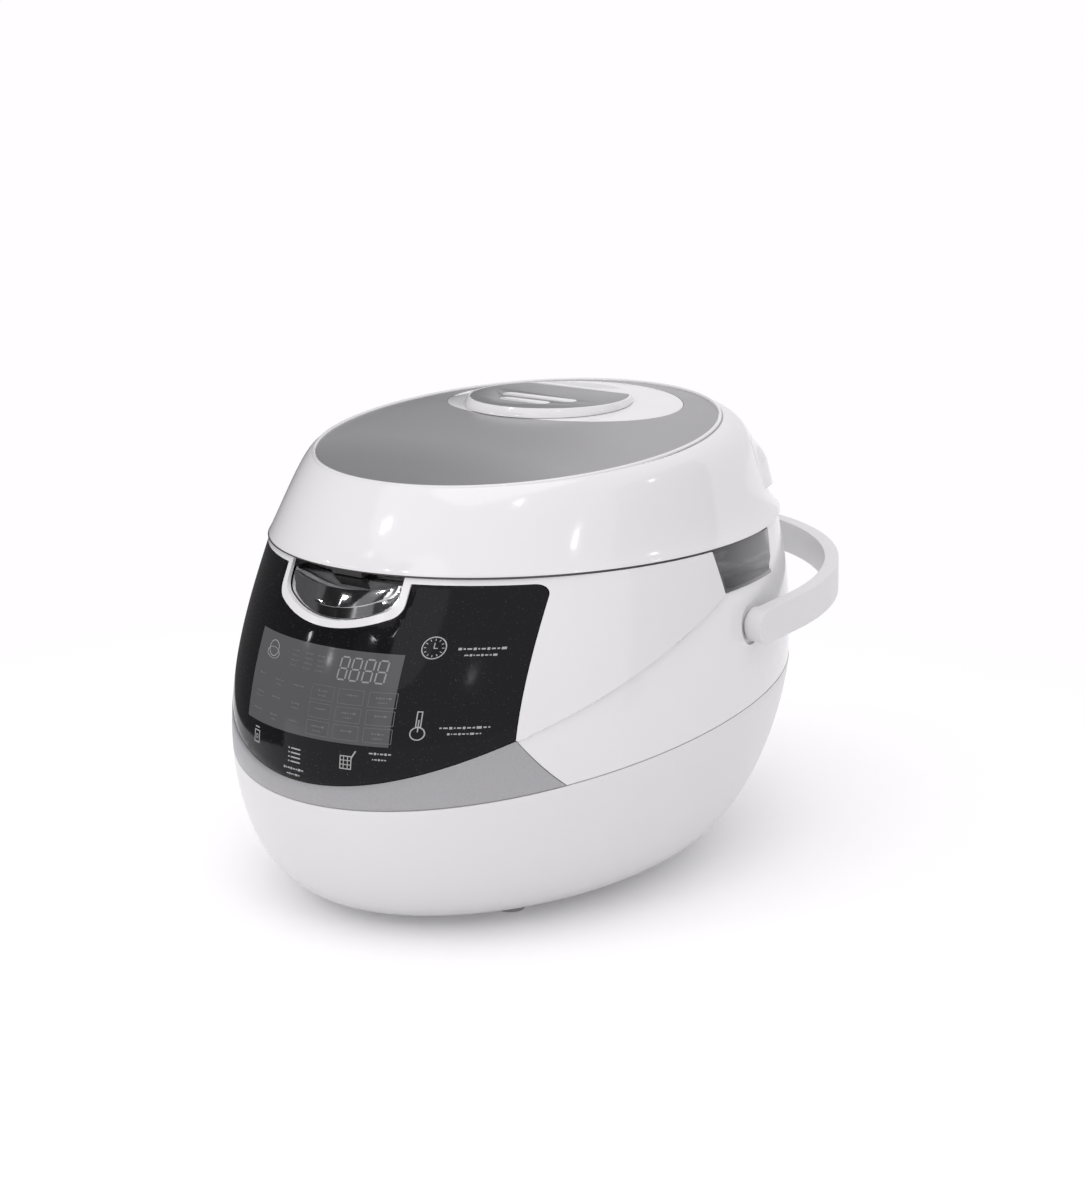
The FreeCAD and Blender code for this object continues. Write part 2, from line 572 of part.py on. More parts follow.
def dome(name, up, out):
    """The dome that the lid cover is cut from, grown upwards and outwards."""
    share = "sqrt(1 - ((dome_ball - dome_rise) / dome_ball) ^ 2)"
    ball = doc.addObject("Part::Ellipsoid", name)
    bind(ball, Radius1=f"(crown_front + crown_rear) / 2 / {share} + ({out})", Radius2=f"crown_half / {share} + ({out})",
         Radius3=f"dome_ball + ({up})")
    place(ball, 0, "plan_y + (crown_rear - crown_front) / 2 + (dome_ball - dome_rise) * sin(crown_tilt)",
          "crown_level - (dome_ball - dome_rise) * cos(crown_tilt)", roll="crown_tilt - 90")
    return ball


def over_crown(name):
    """Everything over the tilted plane that the lid cover sits on."""
    slab = doc.addObject("Part::Box", name)
    bind(slab, Length="2 * far", Width="2 * far", Height="far")
    place(slab, "-far", "plan_y + (crown_rear - crown_front) / 2 - far * cos(crown_tilt)",
          "crown_level - far * sin(crown_tilt)", roll="crown_tilt")
    return slab


def cap_rod(name, radius, low, high):
    """A rod along the valve cap's tilted axis, between heights measured from the cap's top."""
    cylinder = doc.addObject("Part::Cylinder", name)
    bind(cylinder, Radius=radius, Height=f"({high}) - ({low})")
    place(cylinder, 0, f"plan_y + cap_y - ({low}) * sin(cap_tilt)", f"cap_level + ({low}) * cos(cap_tilt)",
          roll="cap_tilt")
    return cylinder


def cap_cone(name):
    """The valve cap's flaring outside, down from its top."""
    cone = doc.addObject("Part::Cone", name)
    bind(cone, Radius1="cap_foot", Radius2="cap_radius", Height="cap_high")
    place(cone, 0, "plan_y + cap_y + cap_high * sin(cap_tilt)", "cap_level - cap_high * cos(cap_tilt)",
          roll="cap_tilt")
    return cone


def cap_bar(name, length, y):
    """A long bar with round ends across the valve cap, which its inlay leaves free."""
    flat = f"({length} - bar_width) / 2"
    low = "cap_level - inlay_thick - 1"
    middle = pot_block(name + "_middle", flat, (f"{y} - bar_width / 2", f"{y} + bar_width / 2"), (low, "far * 2"))
    ends = [rod(f"{name}_{end}", "bar_width / 2", "far", (f"{sign} * {flat}", f"plan_y + {y}", low))
            for end, sign in SIDES]
    return fuse(name, middle, *ends)


def lid_outside():
    """Lid shell, grey cover, vent ring and the hinge cover behind."""
    spots = lid_post_spots()
    within_wall = skin_form("lid_middle", LID_SECTIONS, "wall / 2")
    posts = common("lid_posts", within_wall, group("lid_post_rods", *[
        rod(f"lid_post_{index}", 4.5, "far", (x, y, "liner_low + liner_thick"))
        for index, (x, y) in enumerate(spots)]))
    bores = [rod(f"lid_post_bore_{index}", "screw_radius", 12, (x, y, "liner_low - 1"))
             for index, (x, y) in enumerate(spots)]
    arm_slot = pot_block("arm_slot", "tower_in", ("rim_rear - 25", "far"), ("rim_level", "rear_cover_low - 1"))
    walls = fuse("lid_walls", cut("lid_ring", lid_form, lid_hollow), posts)
    sub_part("lid_outer_shell", cut("lid_outer_shell", walls, arm_slot, *bores))
    cap = common("cover_cap", dome("cover_dome", 0, 0), over_crown("over_crown"))
    sheet = cut("cover_sheet", cap, dome("cover_under", "-dome_wall", -6))
    ring_room = vent_bar("vent_room", 0)
    sub_part("lid_top_cover", cut("lid_top_cover", sheet, ring_room))
    ring = common("vent_sheet", sheet, vent_bar("vent_bar", "-fit_gap / 2"))
    hole = rod("vent_hole", "cup_hole", "2 * far", (0, "plan_y + cap_y", 0))
    sub_part("steam_vent_ring", cut("steam_vent_ring", ring, hole))
    proud = "-rear_cover_proud"
    swollen = skin_form("rear_cover_form", LID_SECTIONS, (-1, proud, proud, proud))
    rear = common("rear_cover_part", swollen, pot_block("rear_cover_room", "far", ("rear_cover_y", "far"),
                                                        ("rear_cover_low", "rear_cover_top")))
    sub_part("hinge_cover", cut("hinge_cover", rear, lid_form))


def vent_bar(name, grow):
    """The vent ring's oval outline, upright through the lid."""
    oval = doc.addObject("Part::Ellipse", name + "_oval")
    bind(oval, MajorRadius=f"vent_half + {grow}", MinorRadius=f"vent_depth + {grow}")
    place(oval, 0, "plan_y + vent_y", "skirt_level")
    bar = doc.addObject("Part::Extrusion", name)
    bar.Base = oval
    bar.DirMode = "Normal"
    bar.Solid = True
    bind(bar, LengthFwd="far")
    return bar


def lid_post_spots():
    """Where the lid's screw posts stand."""
    front = [(x, "plan_y - lid_post_y") for x in ("lid_post_x", "-lid_post_x")]
    rear = [(x, "plan_y + lid_post_rear_y") for x in ("lid_post_rear_x", "-lid_post_rear_x")]
    return front + rear


def steam_valve():
    """Valve cup in the lid, its cap with the grey inlay, and its gasket."""
    sub_part("steam_valve_body", turned("steam_valve_body", (
        (6, "cup_low"), ("cup_radius", "cup_low"), ("cup_radius", "cup_top - 2"), ("cup_hole - 0.5", "cup_top - 2"),
        ("cup_hole - 0.5", "cup_top"), ("cup_radius - 2", "cup_top"), ("cup_radius - 2", "cup_low + 2"),
        (6, "cup_low + 2")), y="plan_y + cap_y"))
    sub_part("steam_valve_gasket", turned("steam_valve_gasket", (
        (6, "inner_plate_low + inner_plate_thick"), (12, "inner_plate_low + inner_plate_thick"),
        (12, "cup_low"), (6, "cup_low")), y="plan_y + cap_y"))
    bars = [cap_bar("bar_rear", "bar_long", "bar_long_y"), cap_bar("bar_front", "bar_short", "bar_short_y")]
    before_rear = pot_block("inlay_room", "far", ("-far", "inlay_rear_y"), (0, "2 * far"))
    raised = cut("cap_raised", cap_cone("cap_disc"), dome("cap_clear", "fit_gap", "fit_gap"))
    skirt = rod("cap_skirt", "cup_radius - 4", "cap_level - 3 - cup_low - 25",
                (0, "plan_y + cap_y", "cup_low + 25"))
    bore = rod("cap_bore", "cup_radius - 7", "cap_level - 6 - cup_low", (0, "plan_y + cap_y", "cup_low"))
    seat_disc = common("seat_disc", cap_rod("inlay_seat_disc", "inlay_radius", "-inlay_thick", 10), before_rear)
    inlay_seat = cut("inlay_seat", seat_disc, *bars)
    sub_part("steam_valve_cap", cut("steam_valve_cap", fuse("cap_whole", raised, skirt), bore, inlay_seat))
    inlay = common("inlay_disc", cap_rod("inlay_plate", "inlay_radius - 0.1", "-inlay_thick", 0), before_rear)
    sub_part("steam_cap_inlay", cut("steam_cap_inlay", inlay, *bars))


def lid_inside():
    """Liner, inner lid plate with its gasket and clip, catch and screws."""
    inside = skin_form("liner_outline", LID_SECTIONS, ("wall + 0.2", "wall + 0.2", "wall + 0.2", "wall + 2.2"),
                       low_lift="-wall", high_lift=1)
    sheet = common("liner_sheet", inside, pot_block("liner_slab", "far", ("-far", "far"),
                                                    ("liner_low", "liner_low + liner_thick")))
    steam_hole = rod("liner_steam_hole", 12, "far", (0, "plan_y + cap_y", "rim_level"))
    tab_slot = pot_block("tab_slot", 10.3, (-137.8, -134.2), ("rim_level", "far"))
    bores = [rod(f"liner_bore_{index}", "screw_radius", "far", (x, y, "rim_level"))
             for index, (x, y) in enumerate(lid_post_spots())]
    sub_part("lid_inner_shell", cut("lid_inner_shell", sheet, steam_hole, tab_slot, *bores))
    plate = turned("inner_plate_disc", (
        (5.2, "inner_plate_low"), ("inner_plate_radius", "inner_plate_low"),
        ("inner_plate_radius", "inner_plate_low + inner_plate_thick"),
        (5.2, "inner_plate_low + inner_plate_thick")))
    middle = rod("plate_vent_middle", 5, "far", (0, "plan_y + cap_y", 180))
    sub_part("inner_lid_plate", cut("inner_lid_plate", plate, middle))
    sub_part("inner_lid_gasket", turned("inner_lid_gasket", (
        ("inner_plate_radius + 0.3", "gasket_low + 1.7"), ("inner_plate_radius + 4", "gasket_low"),
        ("gasket_out", "gasket_low"), ("gasket_out", "liner_low"), ("inner_plate_radius + 0.3", "liner_low"))))
    sub_part("inner_lid_clip", turned("inner_lid_clip", (
        (0, 188.5), (9, 188.5), (9, "inner_plate_low"), (5.2, "inner_plate_low"), (5.2, "liner_low"),
        (0, "liner_low"))))
    tab = pot_block("catch_tab", 10, (-137.5, -134.5), (188, "liner_low + liner_thick + 1.5"))
    lip = pot_block("catch_lip", 10, (-137.5, -131.8), (188, 190))
    foot = pot_block("catch_foot", 10, (-137.5, -120), ("liner_low + liner_thick", "liner_low + liner_thick + 1.5"))
    sub_part("lid_catch", fuse("lid_catch", tab, lip, foot))
    screws = []
    for index, (x, y) in enumerate(lid_post_spots()):
        shaft = rod(f"lid_screw_shaft_{index}", "screw_radius", 10, (x, y, "liner_low"))
        head = rod(f"lid_screw_head_{index}", "screw_head", 2, (x, y, "liner_low - 2"))
        screws.append(fuse(f"lid_screw_{index}", shaft, head))
    sub_part("lid_screws", group("lid_screws", *screws))


def hinge():
    """Pin in the towers, the lid's arm on it, and the spring that lifts the lid."""
    sub_part("hinge_pin", rod("hinge_pin", "pin_radius", "2 * pin_half",
                              ("-pin_half", "plan_y + hinge_y", "hinge_level"), "x"))
    pieces = [pot_block("arm_plate", "knuckle_out", (128, 160),
                        ("liner_low + liner_thick", "liner_low + liner_thick + 2.5"))]
    for name, side in SIDES:
        pieces.append(side_rod(f"knuckle_{name}", side, "knuckle_radius", "knuckle_in", "knuckle_out", "hinge_y",
                               "hinge_level"))
        pieces.append(side_block(f"arm_web_{name}", side, "knuckle_in", "knuckle_out", (150, "hinge_y"),
                                 ("liner_low + liner_thick", "hinge_level + knuckle_radius")))
    bore = rod("knuckle_bore", "pin_fit", "2 * far", ("-far", "plan_y + hinge_y", "hinge_level"), "x")
    sub_part("lid_hinge_arm", cut("lid_hinge_arm", fuse("arm_whole", *pieces), bore))
    sub_part("hinge_spring", coil("hinge_spring", 4.6, 1.4, 17, 8, (-8.5, "plan_y + hinge_y", "hinge_level"), "x"))


def swung(thing, x, reach, height, yaw=0):
    """Place a piece of the handle by its reach from the pivot, with the handle at rest."""
    y = f"plan_y + pivot_y + ({reach}) * cos(swing_rest) - ({height}) * sin(swing_rest)"
    z = f"pivot_level + ({reach}) * sin(swing_rest) + ({height}) * cos(swing_rest)"
    turn = {"yaw": 90, "pitch": "-swing_rest"} if yaw else {"roll": "swing_rest"}
    place(thing, x, y, z, **turn)


def grip_oval(name, inset):
    """The handle's oval bend, at its outer or its inner face."""
    oval = doc.addObject("Part::Ellipse", name + "_oval")
    bind(oval, MajorRadius=f"grip_reach - grip_straight - {inset}", MinorRadius=f"grip_half - {inset}")
    swung(oval, 0, "grip_straight", "-grip_height / 2", yaw=90)
    bar = doc.addObject("Part::Extrusion", name)
    bar.Base = oval
    bar.DirMode = "Normal"
    bar.Solid = True
    bind(bar, LengthFwd="grip_height")
    return bar


def grip_box(name, half, reach, height):
    """A box of the handle, with its reach and its height measured from the pivot."""
    box = doc.addObject("Part::Box", name)
    bind(box, Length=f"2 * ({half})", Width=f"({reach[1]}) - ({reach[0]})", Height=f"({height[1]}) - ({height[0]})")
    swung(box, f"-({half})", reach[0], height[0])
    return box


def carry_handle():
    """Folding handle: two arms with an oval bend, on trunnions in the body, with washers and screws."""
    tall = ("-grip_height / 2", "grip_height / 2")
    behind = grip_box("grip_behind", "far", ("grip_straight", "2 * far"), ("-far", "far"))
    bend = common("grip_bend", grip_oval("grip_outer", 0), behind)
    arms = grip_box("grip_arms", "grip_half", (0, "grip_straight"), tall)
    inner_arms = grip_box("grip_inner_arms", "grip_half - grip_thick", (-20, "grip_straight"),
                          ("-grip_height", "grip_height"))
    inner_bend = grip_oval("grip_inner", "grip_thick")
    strap = cut("grip_strap", fuse("grip_plan", bend, arms), inner_arms, inner_bend)
    bosses = [side_rod(f"boss_{name}", side, "grip_height / 2", "boss_inner", "grip_half", "pivot_y", "pivot_level")
              for name, side in SIDES]
    trunnions = [side_rod(f"trunnion_{name}", side, "trunnion_radius", "trunnion_end", "boss_inner + 2",
                          "pivot_y", "pivot_level") for name, side in SIDES]
    bores = [side_rod(f"trunnion_bore_{name}", side, "screw_radius", 100, "trunnion_end + 8", "pivot_y",
                      "pivot_level") for name, side in SIDES]
    whole = fuse("grip_whole", strap, *bosses, *trunnions)
    sub_part("carry_handle", cut("carry_handle", whole, *bores))
    washers = []
    screws = []
    for name, side in SIDES:
        disc = side_rod(f"washer_disc_{name}", side, 10, "trunnion_end - 1.6", "trunnion_end", "pivot_y",
                        "pivot_level")
        hole = side_rod(f"washer_hole_{name}", side, "screw_radius", 100, "far", "pivot_y", "pivot_level")
        washers.append(cut(f"washer_{name}", disc, hole))
        shaft = side_rod(f"handle_screw_shaft_{name}", side, "screw_radius", "trunnion_end - 1.6",
                         "trunnion_end + 8", "pivot_y", "pivot_level")
        head = side_rod(f"handle_screw_head_{name}", side, "screw_head", "trunnion_end - 4", "trunnion_end - 1.6",
                        "pivot_y", "pivot_level")
        screws.append(fuse(f"handle_screw_{name}", shaft, head))
    sub_part("handle_washers", group("handle_washers", *washers))
    sub_part("handle_screws", group("handle_screws", *screws))


def board_block(name, x, depth, up):
    """A box that leans with the control board: across, into the body and up along the board."""
    box = doc.addObject("Part::Box", name)
    bind(box, Length=f"({x[1]}) - ({x[0]})", Width=f"({depth[1]}) - ({depth[0]})", Height=f"({up[1]}) - ({up[0]})")
    place(box, x[0], f"plan_y + board_y + ({depth[0]}) * cos(board_lean) + ({up[0]}) * sin(board_lean)",
          f"board_level - ({depth[0]}) * sin(board_lean) + ({up[0]}) * cos(board_lean)", roll="-board_lean")
    return box


def boards():
    """Control board with its display, its frame, and the mains board with its parts."""
    across = ("-board_half", "board_half")
    sub_part("control_board", board_block("control_board", across, (0, "board_thick"), (0, "board_height")))
    sub_part("display_module", board_block("display_module", (-38, 40), (-7, 0), (18, 50)))
    plate = board_block("frame_plate", ("-board_half - 4", "board_half + 4"), ("board_thick", "board_thick + 3"),
                        (-4, "board_height + 4"))
    window = board_block("frame_window", ("-board_half + 8", "board_half - 8"), (0, 20), (8, "board_height - 8"))
    sub_part("control_board_frame", cut("control_board_frame", plate, window))
    tall = ("mains_board_low", "mains_board_top")
    sub_part("power_board", pot_block("power_board", "mains_board_half",
                                      ("mains_board_y", "mains_board_y + board_thick"), tall))
    front = "mains_board_y + board_thick"
    coil_block = side_block("transformer", 1, -20, 14, (front, f"{front} + 24"), (62, 94))
    relay = side_block("relay", 1, 22, 48, (front, f"{front} + 16"), (60, 80))
    can = rod("capacitor", 8, 18, (-40, f"plan_y + {front}", 70), "y")
    sub_part("power_board_parts", group("power_board_parts", coil_block, relay, can))


def power_inlet():
    """Mains inlet in the rear of the base, with its three pins."""
    tall = ("inlet_low", "inlet_top")
    plug = pot_block("inlet_block", "inlet_half", ("inlet_front", "inlet_rear"), tall)
    recess = pot_block("inlet_recess", "inlet_half - 5", ("inlet_rear - 8", "far"),
                       ("inlet_low + 4", "inlet_top - 4"))
    socket = pot_block("inlet_socket", "inlet_half / 2", ("inlet_front + 6", "far"),
                       ("inlet_low + 5", "inlet_top - 5"))
    pins = [side_block(f"pin_{index}", 1, x - 1, x + 1, ("inlet_front", "inlet_rear - 12"), (level, level + 4))
            for index, (x, level) in enumerate(((-7, 32), (0, 37), (7, 32)))]
    sub_part("power_inlet", cut("power_inlet", plug, recess, socket, *pins))
    sub_part("inlet_pins", group("inlet_pins", *pins))


def check(thing):
    """Stop if an object failed, or has no valid shape."""
    if "Invalid" in thing.State or "Error" in thing.State:
        raise RuntimeError(f"{thing.Label} failed")
    if hasattr(thing, "Shape") and (thing.Shape.isNull() or not thing.Shape.isValid()):
        if thing in sub_parts:
            raise RuntimeError(f"{thing.Label} has no valid shape")


base_shell()
upper_body_shell()
front_pieces()
condensate_troughs()
top_deck()
pot_and_heater()
thermostat()
feet_and_screws()
lid_outside()
steam_valve()
lid_inside()
hinge()
carry_handle()
boards()
power_inlet()
doc.recompute()

for thing in doc.Objects:
    check(thing)
os.makedirs("parts", exist_ok=True)
for piece in sub_parts:
    piece.Shape.exportStep(f"parts/{piece.Label}.step")
    box = piece.Shape.BoundBox
    print(f"{piece.Label}: {len(piece.Shape.Solids)} solids, {piece.Shape.Volume / 1000:.1f} ml,"
          f" x {box.XMin:.1f}..{box.XMax:.1f} y {box.YMin:.1f}..{box.YMax:.1f} z {box.ZMin:.1f}..{box.ZMax:.1f}")
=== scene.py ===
"""Oval multicooker with a hinged lid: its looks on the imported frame, in metres, front towards -Y."""
from __future__ import annotations

import json
import logging
import math
from dataclasses import dataclass, field
from enum import Enum
from typing import Any, Dict, List, Optional, Sequence, Tuple, Union

import bpy
from mathutils import Matrix, Vector

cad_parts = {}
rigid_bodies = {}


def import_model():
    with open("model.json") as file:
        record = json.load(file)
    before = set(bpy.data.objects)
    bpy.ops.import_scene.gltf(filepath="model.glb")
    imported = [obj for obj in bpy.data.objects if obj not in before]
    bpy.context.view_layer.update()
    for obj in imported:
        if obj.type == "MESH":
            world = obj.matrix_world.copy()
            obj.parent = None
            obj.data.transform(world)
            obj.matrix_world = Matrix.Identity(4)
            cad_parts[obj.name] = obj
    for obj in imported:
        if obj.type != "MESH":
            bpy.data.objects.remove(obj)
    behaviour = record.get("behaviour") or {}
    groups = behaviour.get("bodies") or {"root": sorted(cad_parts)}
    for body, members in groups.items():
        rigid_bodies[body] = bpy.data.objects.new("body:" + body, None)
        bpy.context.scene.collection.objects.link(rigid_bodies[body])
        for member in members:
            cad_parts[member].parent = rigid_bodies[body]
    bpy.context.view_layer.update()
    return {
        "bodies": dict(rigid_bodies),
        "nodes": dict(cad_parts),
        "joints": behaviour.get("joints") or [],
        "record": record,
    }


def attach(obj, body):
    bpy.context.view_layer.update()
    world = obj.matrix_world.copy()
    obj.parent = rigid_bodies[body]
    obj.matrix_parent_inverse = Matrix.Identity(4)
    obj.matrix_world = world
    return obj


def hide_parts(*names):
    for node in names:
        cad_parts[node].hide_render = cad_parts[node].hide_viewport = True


LOG = logging.getLogger("multicooker")
MM = 0.001
POT_Y = -25.25 * MM
BODY_RATIO = 0.8
Colour = Tuple[float, float, float]
Point = Tuple[float, float, float]


class Body(Enum):
    """The rigid bodies of the frame."""

    BASE = "base"
    LID = "lid"
    CAP = "steam_cap"
    HANDLE = "carry_handle"
    BUTTON = "release_button"


class Wire:
    """A node's output with arithmetic, so that shader maths reads as Python."""

    def __init__(self, sheet: "Sheet", socket: bpy.types.NodeSocket) -> None:
        """Keep the socket and the sheet that it belongs to."""
        self.sheet = sheet
        self.socket = socket

    def _math(self, operation: str, first: Any, second: Any) -> "Wire":
        """Add one Math node.

        Args:
            operation: Blender's name of the operation.
            first: a wire or a number.
            second: a wire or a number.
        Returns:
            The node's output.
        """
        return self.sheet.node("ShaderNodeMath", {"operation": operation}, {0: first, 1: second})

    def __add__(self, other: Any) -> "Wire":
        """Sum."""
        return self._math("ADD", self, other)

    def __radd__(self, other: Any) -> "Wire":
        """Sum with a number on the left."""
        return self._math("ADD", other, self)

    def __sub__(self, other: Any) -> "Wire":
        """Difference."""
        return self._math("SUBTRACT", self, other)

    def __rsub__(self, other: Any) -> "Wire":
        """Difference with a number on the left."""
        return self._math("SUBTRACT", other, self)

    def __mul__(self, other: Any) -> "Wire":
        """Product."""
        return self._math("MULTIPLY", self, other)

    def __rmul__(self, other: Any) -> "Wire":
        """Product with a number on the left."""
        return self._math("MULTIPLY", other, self)

    def over(self, limit: float) -> "Wire":
        """One where the value is above a limit."""
        return self._math("GREATER_THAN", self, limit)

    def within(self, low: float, high: float) -> "Wire":
        """The value's smooth rise from 0 at low to 1 at high.

        Args:
            low: where the rise starts.
            high: where the rise ends.
        Returns:
            A value from 0 to 1.
        """
        return self.sheet.node("ShaderNodeMapRange", {"interpolation_type": "SMOOTHSTEP"},
                               {"Value": self, "From Min": low, "From Max": high})


class Sheet:
    """One material's node tree."""

    def __init__(self, name: str) -> None:
        """Start a material with one principled shader."""
        self.material = bpy.data.materials.new(name)
        self.material.use_nodes = True
        self.tree = self.material.node_tree
        self.tree.nodes.clear()
        self.output = self.tree.nodes.new("ShaderNodeOutputMaterial")
        self.shader = self.tree.nodes.new("ShaderNodeBsdfPrincipled")
        self.tree.links.new(self.shader.outputs[0], self.output.inputs["Surface"])

    def node(self, kind: str, settings: Optional[Dict[str, Any]] = None,
             inputs: Optional[Dict[Union[str, int], Any]] = None, out: Union[str, int] = 0) -> Wire:
        """Add any node.

        Args:
            kind: the node's type.
            settings: its own settings, with a ramp's stops under "stops".
            inputs: values or wires of its sockets, by name or index.
            out: the output that is wanted.
        Returns:
            That output.
        """
        made = self.tree.nodes.new(kind)
        for key, value in (settings or {}).items():
            if key == "stops":
                self._set_stops(made.color_ramp, value)
            else:
                setattr(made, key, value)
        for key, value in (inputs or {}).items():
            self.feed(made.inputs[key], value)
        return Wire(self, made.outputs[out])

    def _set_stops(self, ramp: bpy.types.ColorRamp, stops: Sequence[Tuple[float, Colour]]) -> None:
        """Give a ramp its stops."""
        while len(ramp.elements) < len(stops):
            ramp.elements.new(1.0)
        for element, (place, colour) in zip(ramp.elements, stops):
            element.position = place
            element.color = (*colour, 1.0)

    def feed(self, socket: bpy.types.NodeSocket, value: Any) -> None:
        """Link a wire to a socket, or set the socket's own value."""
        if isinstance(value, Wire):
            self.tree.links.new(value.socket, socket)
        elif isinstance(value, tuple) and len(value) == 3 and socket.type == "RGBA":
            socket.default_value = (*value, 1.0)
        else:
            socket.default_value = value

    def surface(self, **inputs: Any) -> None:
        """Feed the principled shader, with underscores for the spaces in its sockets' names."""
        for key, value in inputs.items():
            self.feed(self.shader.inputs[key.replace("_", " ")], value)

    def place(self, scale: Point = (1.0, 1.0, 1.0), turn: Point = (0.0, 0.0, 0.0)) -> Wire:
        """Object coordinates, stretched and turned.

        Args:
            scale: stretch along each axis.
            turn: turn about each axis, in degrees.
        Returns:
            The coordinates.
        """
        spot = self.node("ShaderNodeTexCoord", out="Object")
        angles = tuple(math.radians(angle) for angle in turn)
        return self.node("ShaderNodeMapping", None, {"Vector": spot, "Scale": scale, "Rotation": angles})

    def noise(self, scale: float, detail: float = 2.0, spot: Optional[Wire] = None) -> Wire:
        """Noise whose grains are about one over scale metres wide."""
        where = spot or self.place()
        return self.node("ShaderNodeTexNoise", None, {"Vector": where, "Scale": scale, "Detail": detail})

    def axis(self, name: str) -> Wire:
        """One of the object coordinates X, Y or Z."""
        return self.node("ShaderNodeSeparateXYZ", None, {0: self.place()}, name)

    def blend(self, share: Any, low: Any, high: Any) -> Wire:
        """Mix two colours.

        Args:
            share: how much of the second.
            low: the first colour.
            high: the second colour.
        Returns:
            The mixed colour.
        """
        made = self.tree.nodes.new("ShaderNodeMix")
        made.data_type = "RGBA"
        self.feed(made.inputs[0], share)
        self.feed(made.inputs[6], low)
        self.feed(made.inputs[7], high)
        return Wire(self, made.outputs[2])

    def bump(self, height: Wire, depth: float, strength: float = 1.0) -> Wire:
        """A normal from heights.

        Args:
            height: values from 0 to 1.
            depth: metres that 1 stands for.
            strength: share of the effect.
        Returns:
            The normal.
        """
        return self.node("ShaderNodeBump", None, {"Height": height, "Distance": depth, "Strength": strength})


def ease(share: float) -> float:
    """A share that starts and ends gently, kept between 0 and 1."""
    share = min(max(share, 0.0), 1.0)
    return share * share * (3.0 - 2.0 * share)


def away(place: Vector) -> Vector:
    """The level direction out of the oval body at a place."""
    return Vector((place.x, BODY_RATIO * (place.y - POT_Y), 0.0)).normalized()


def shade(colour: Colour, factor: float) -> Colour:
    """A lighter or darker version of a colour."""
    return (colour[0] * factor, colour[1] * factor, colour[2] * factor)


@dataclass(frozen=True)
class MouldedPlastic:
    """Injection-moulded plastic with a faint peel, handling haze and a little uneven tint."""

    name: str
    colour: Colour
    roughness: float = 0.2
    peel: float = 4e-6
    peel_scale: float = 260.0
    tint: float = 0.02
    coat: float = 0.0

    def make(self) -> bpy.types.Material:
        """Build the material."""
        sheet = Sheet(self.name)
        cloud = sheet.noise(14.0)
        haze = sheet.noise(60.0, 4.0)
        colour = sheet.blend(cloud, shade(self.colour, 1 - self.tint), shade(self.colour, 1 + self.tint))
        rough = self.roughness + (haze - 0.5) * (self.roughness * 0.35)
        sheet.surface(Base_Color=colour, Roughness=rough, Coat_Weight=self.coat, Coat_Roughness=0.05,
                      Normal=sheet.bump(sheet.noise(self.peel_scale, 1.0), self.peel))
        return sheet.material


@dataclass(frozen=True)
class CoverLacquer:
    """Grey satin lacquer whose tone changes from the front to the rear, as painted shade and reflection over
    its grey.
    """

    name: str
    shaded_tones: Sequence[Tuple[float, float]]
    front_y: float
    rear_y: float
    roughness: float = 0.34

    def make(self) -> bpy.types.Material:
        """Build the material."""
        sheet = Sheet(self.name)
        # The tone ramp from front to rear paints shade and reflection into the grey.
        span = sheet.node("ShaderNodeMapRange", None, {"Value": sheet.axis("Y"), "From Min": self.front_y,
                                                       "From Max": self.rear_y})
        stops = [(place, (tone, tone, tone * 1.02)) for place, tone in self.shaded_tones]
        base = sheet.node("ShaderNodeValToRGB", {"stops": stops}, {0: span})
        flakes = sheet.noise(2600.0, 1.0)
        colour = sheet.blend(flakes.within(0.35, 0.75) * 0.12, base, (0.6, 0.6, 0.6))
        rough = self.roughness + (sheet.noise(50.0, 3.0) - 0.5) * 0.08
        sheet.surface(Base_Color=colour, Roughness=rough, Metallic=0.15,
                      Normal=sheet.bump(sheet.noise(300.0, 1.0), 3e-6))
        return sheet.material


@dataclass(frozen=True)
class ShadedTroughGrey:
    """Glossy grey lining with streaks that vary its gloss and relief and paint lighter reflections into its
    colour; painted shade keeps it dark at the front and lighter towards the rear.
    """

    name: str
    front: Colour
    rear: Colour
    front_y: float
    rear_y: float

    def make(self) -> bpy.types.Material:
        """Build the material."""
        sheet = Sheet(self.name)
        streaks_and_sheen = sheet.noise(70.0, 4.0, sheet.place((1.0, 0.35, 2.2), (12.0, 0.0, 0.0)))
        # Painted shade: dark at the front, lighter towards the rear.
        rise = sheet.axis("Y").within(self.front_y, self.rear_y)
        base = sheet.blend(rise, self.front, self.rear)
        # The streaks paint lighter reflections into the colour.
        colour = sheet.blend(streaks_and_sheen.within(0.5, 0.72) * 0.35, base, (0.55, 0.55, 0.55))
        sheet.surface(Base_Color=colour, Roughness=0.14 + streaks_and_sheen * 0.2, Normal=sheet.bump(streaks_and_sheen, 6e-5))
        return sheet.material


@dataclass(frozen=True)
class SilverLacquer:
    """Silver paint with fine metal flakes."""

    name: str
    colour: Colour
    roughness: float = 0.36

    def make(self) -> bpy.types.Material:
        """Build the material."""
        sheet = Sheet(self.name)
        flakes = sheet.noise(3200.0, 1.0).within(0.3, 0.7)
        colour = sheet.blend(flakes, shade(self.colour, 0.9), shade(self.colour, 1.1))
        rough = self.roughness + (sheet.noise(70.0, 3.0) - 0.5) * 0.1
        sheet.surface(Base_Color=colour, Roughness=rough, Metallic=0.55,
                      Normal=sheet.bump(flakes, 2e-6))
        return sheet.material


@dataclass(frozen=True)
class PlatedChrome:
    """Bright plating with faint finger smears."""

    name: str
    colour: Colour = (0.72, 0.72, 0.73)
    roughness: float = 0.07

    def make(self) -> bpy.types.Material:
        """Build the material."""
        sheet = Sheet(self.name)
        smear = sheet.noise(120.0, 4.0, sheet.place((1.0, 1.0, 0.3))).within(0.45, 0.7)
        sheet.surface(Base_Color=sheet.blend(smear, self.colour, shade(self.colour, 0.93)), Metallic=1.0,
                      Roughness=self.roughness + smear * 0.06,
                      Normal=sheet.bump(sheet.noise(500.0, 1.0), 1.5e-6))
        return sheet.material


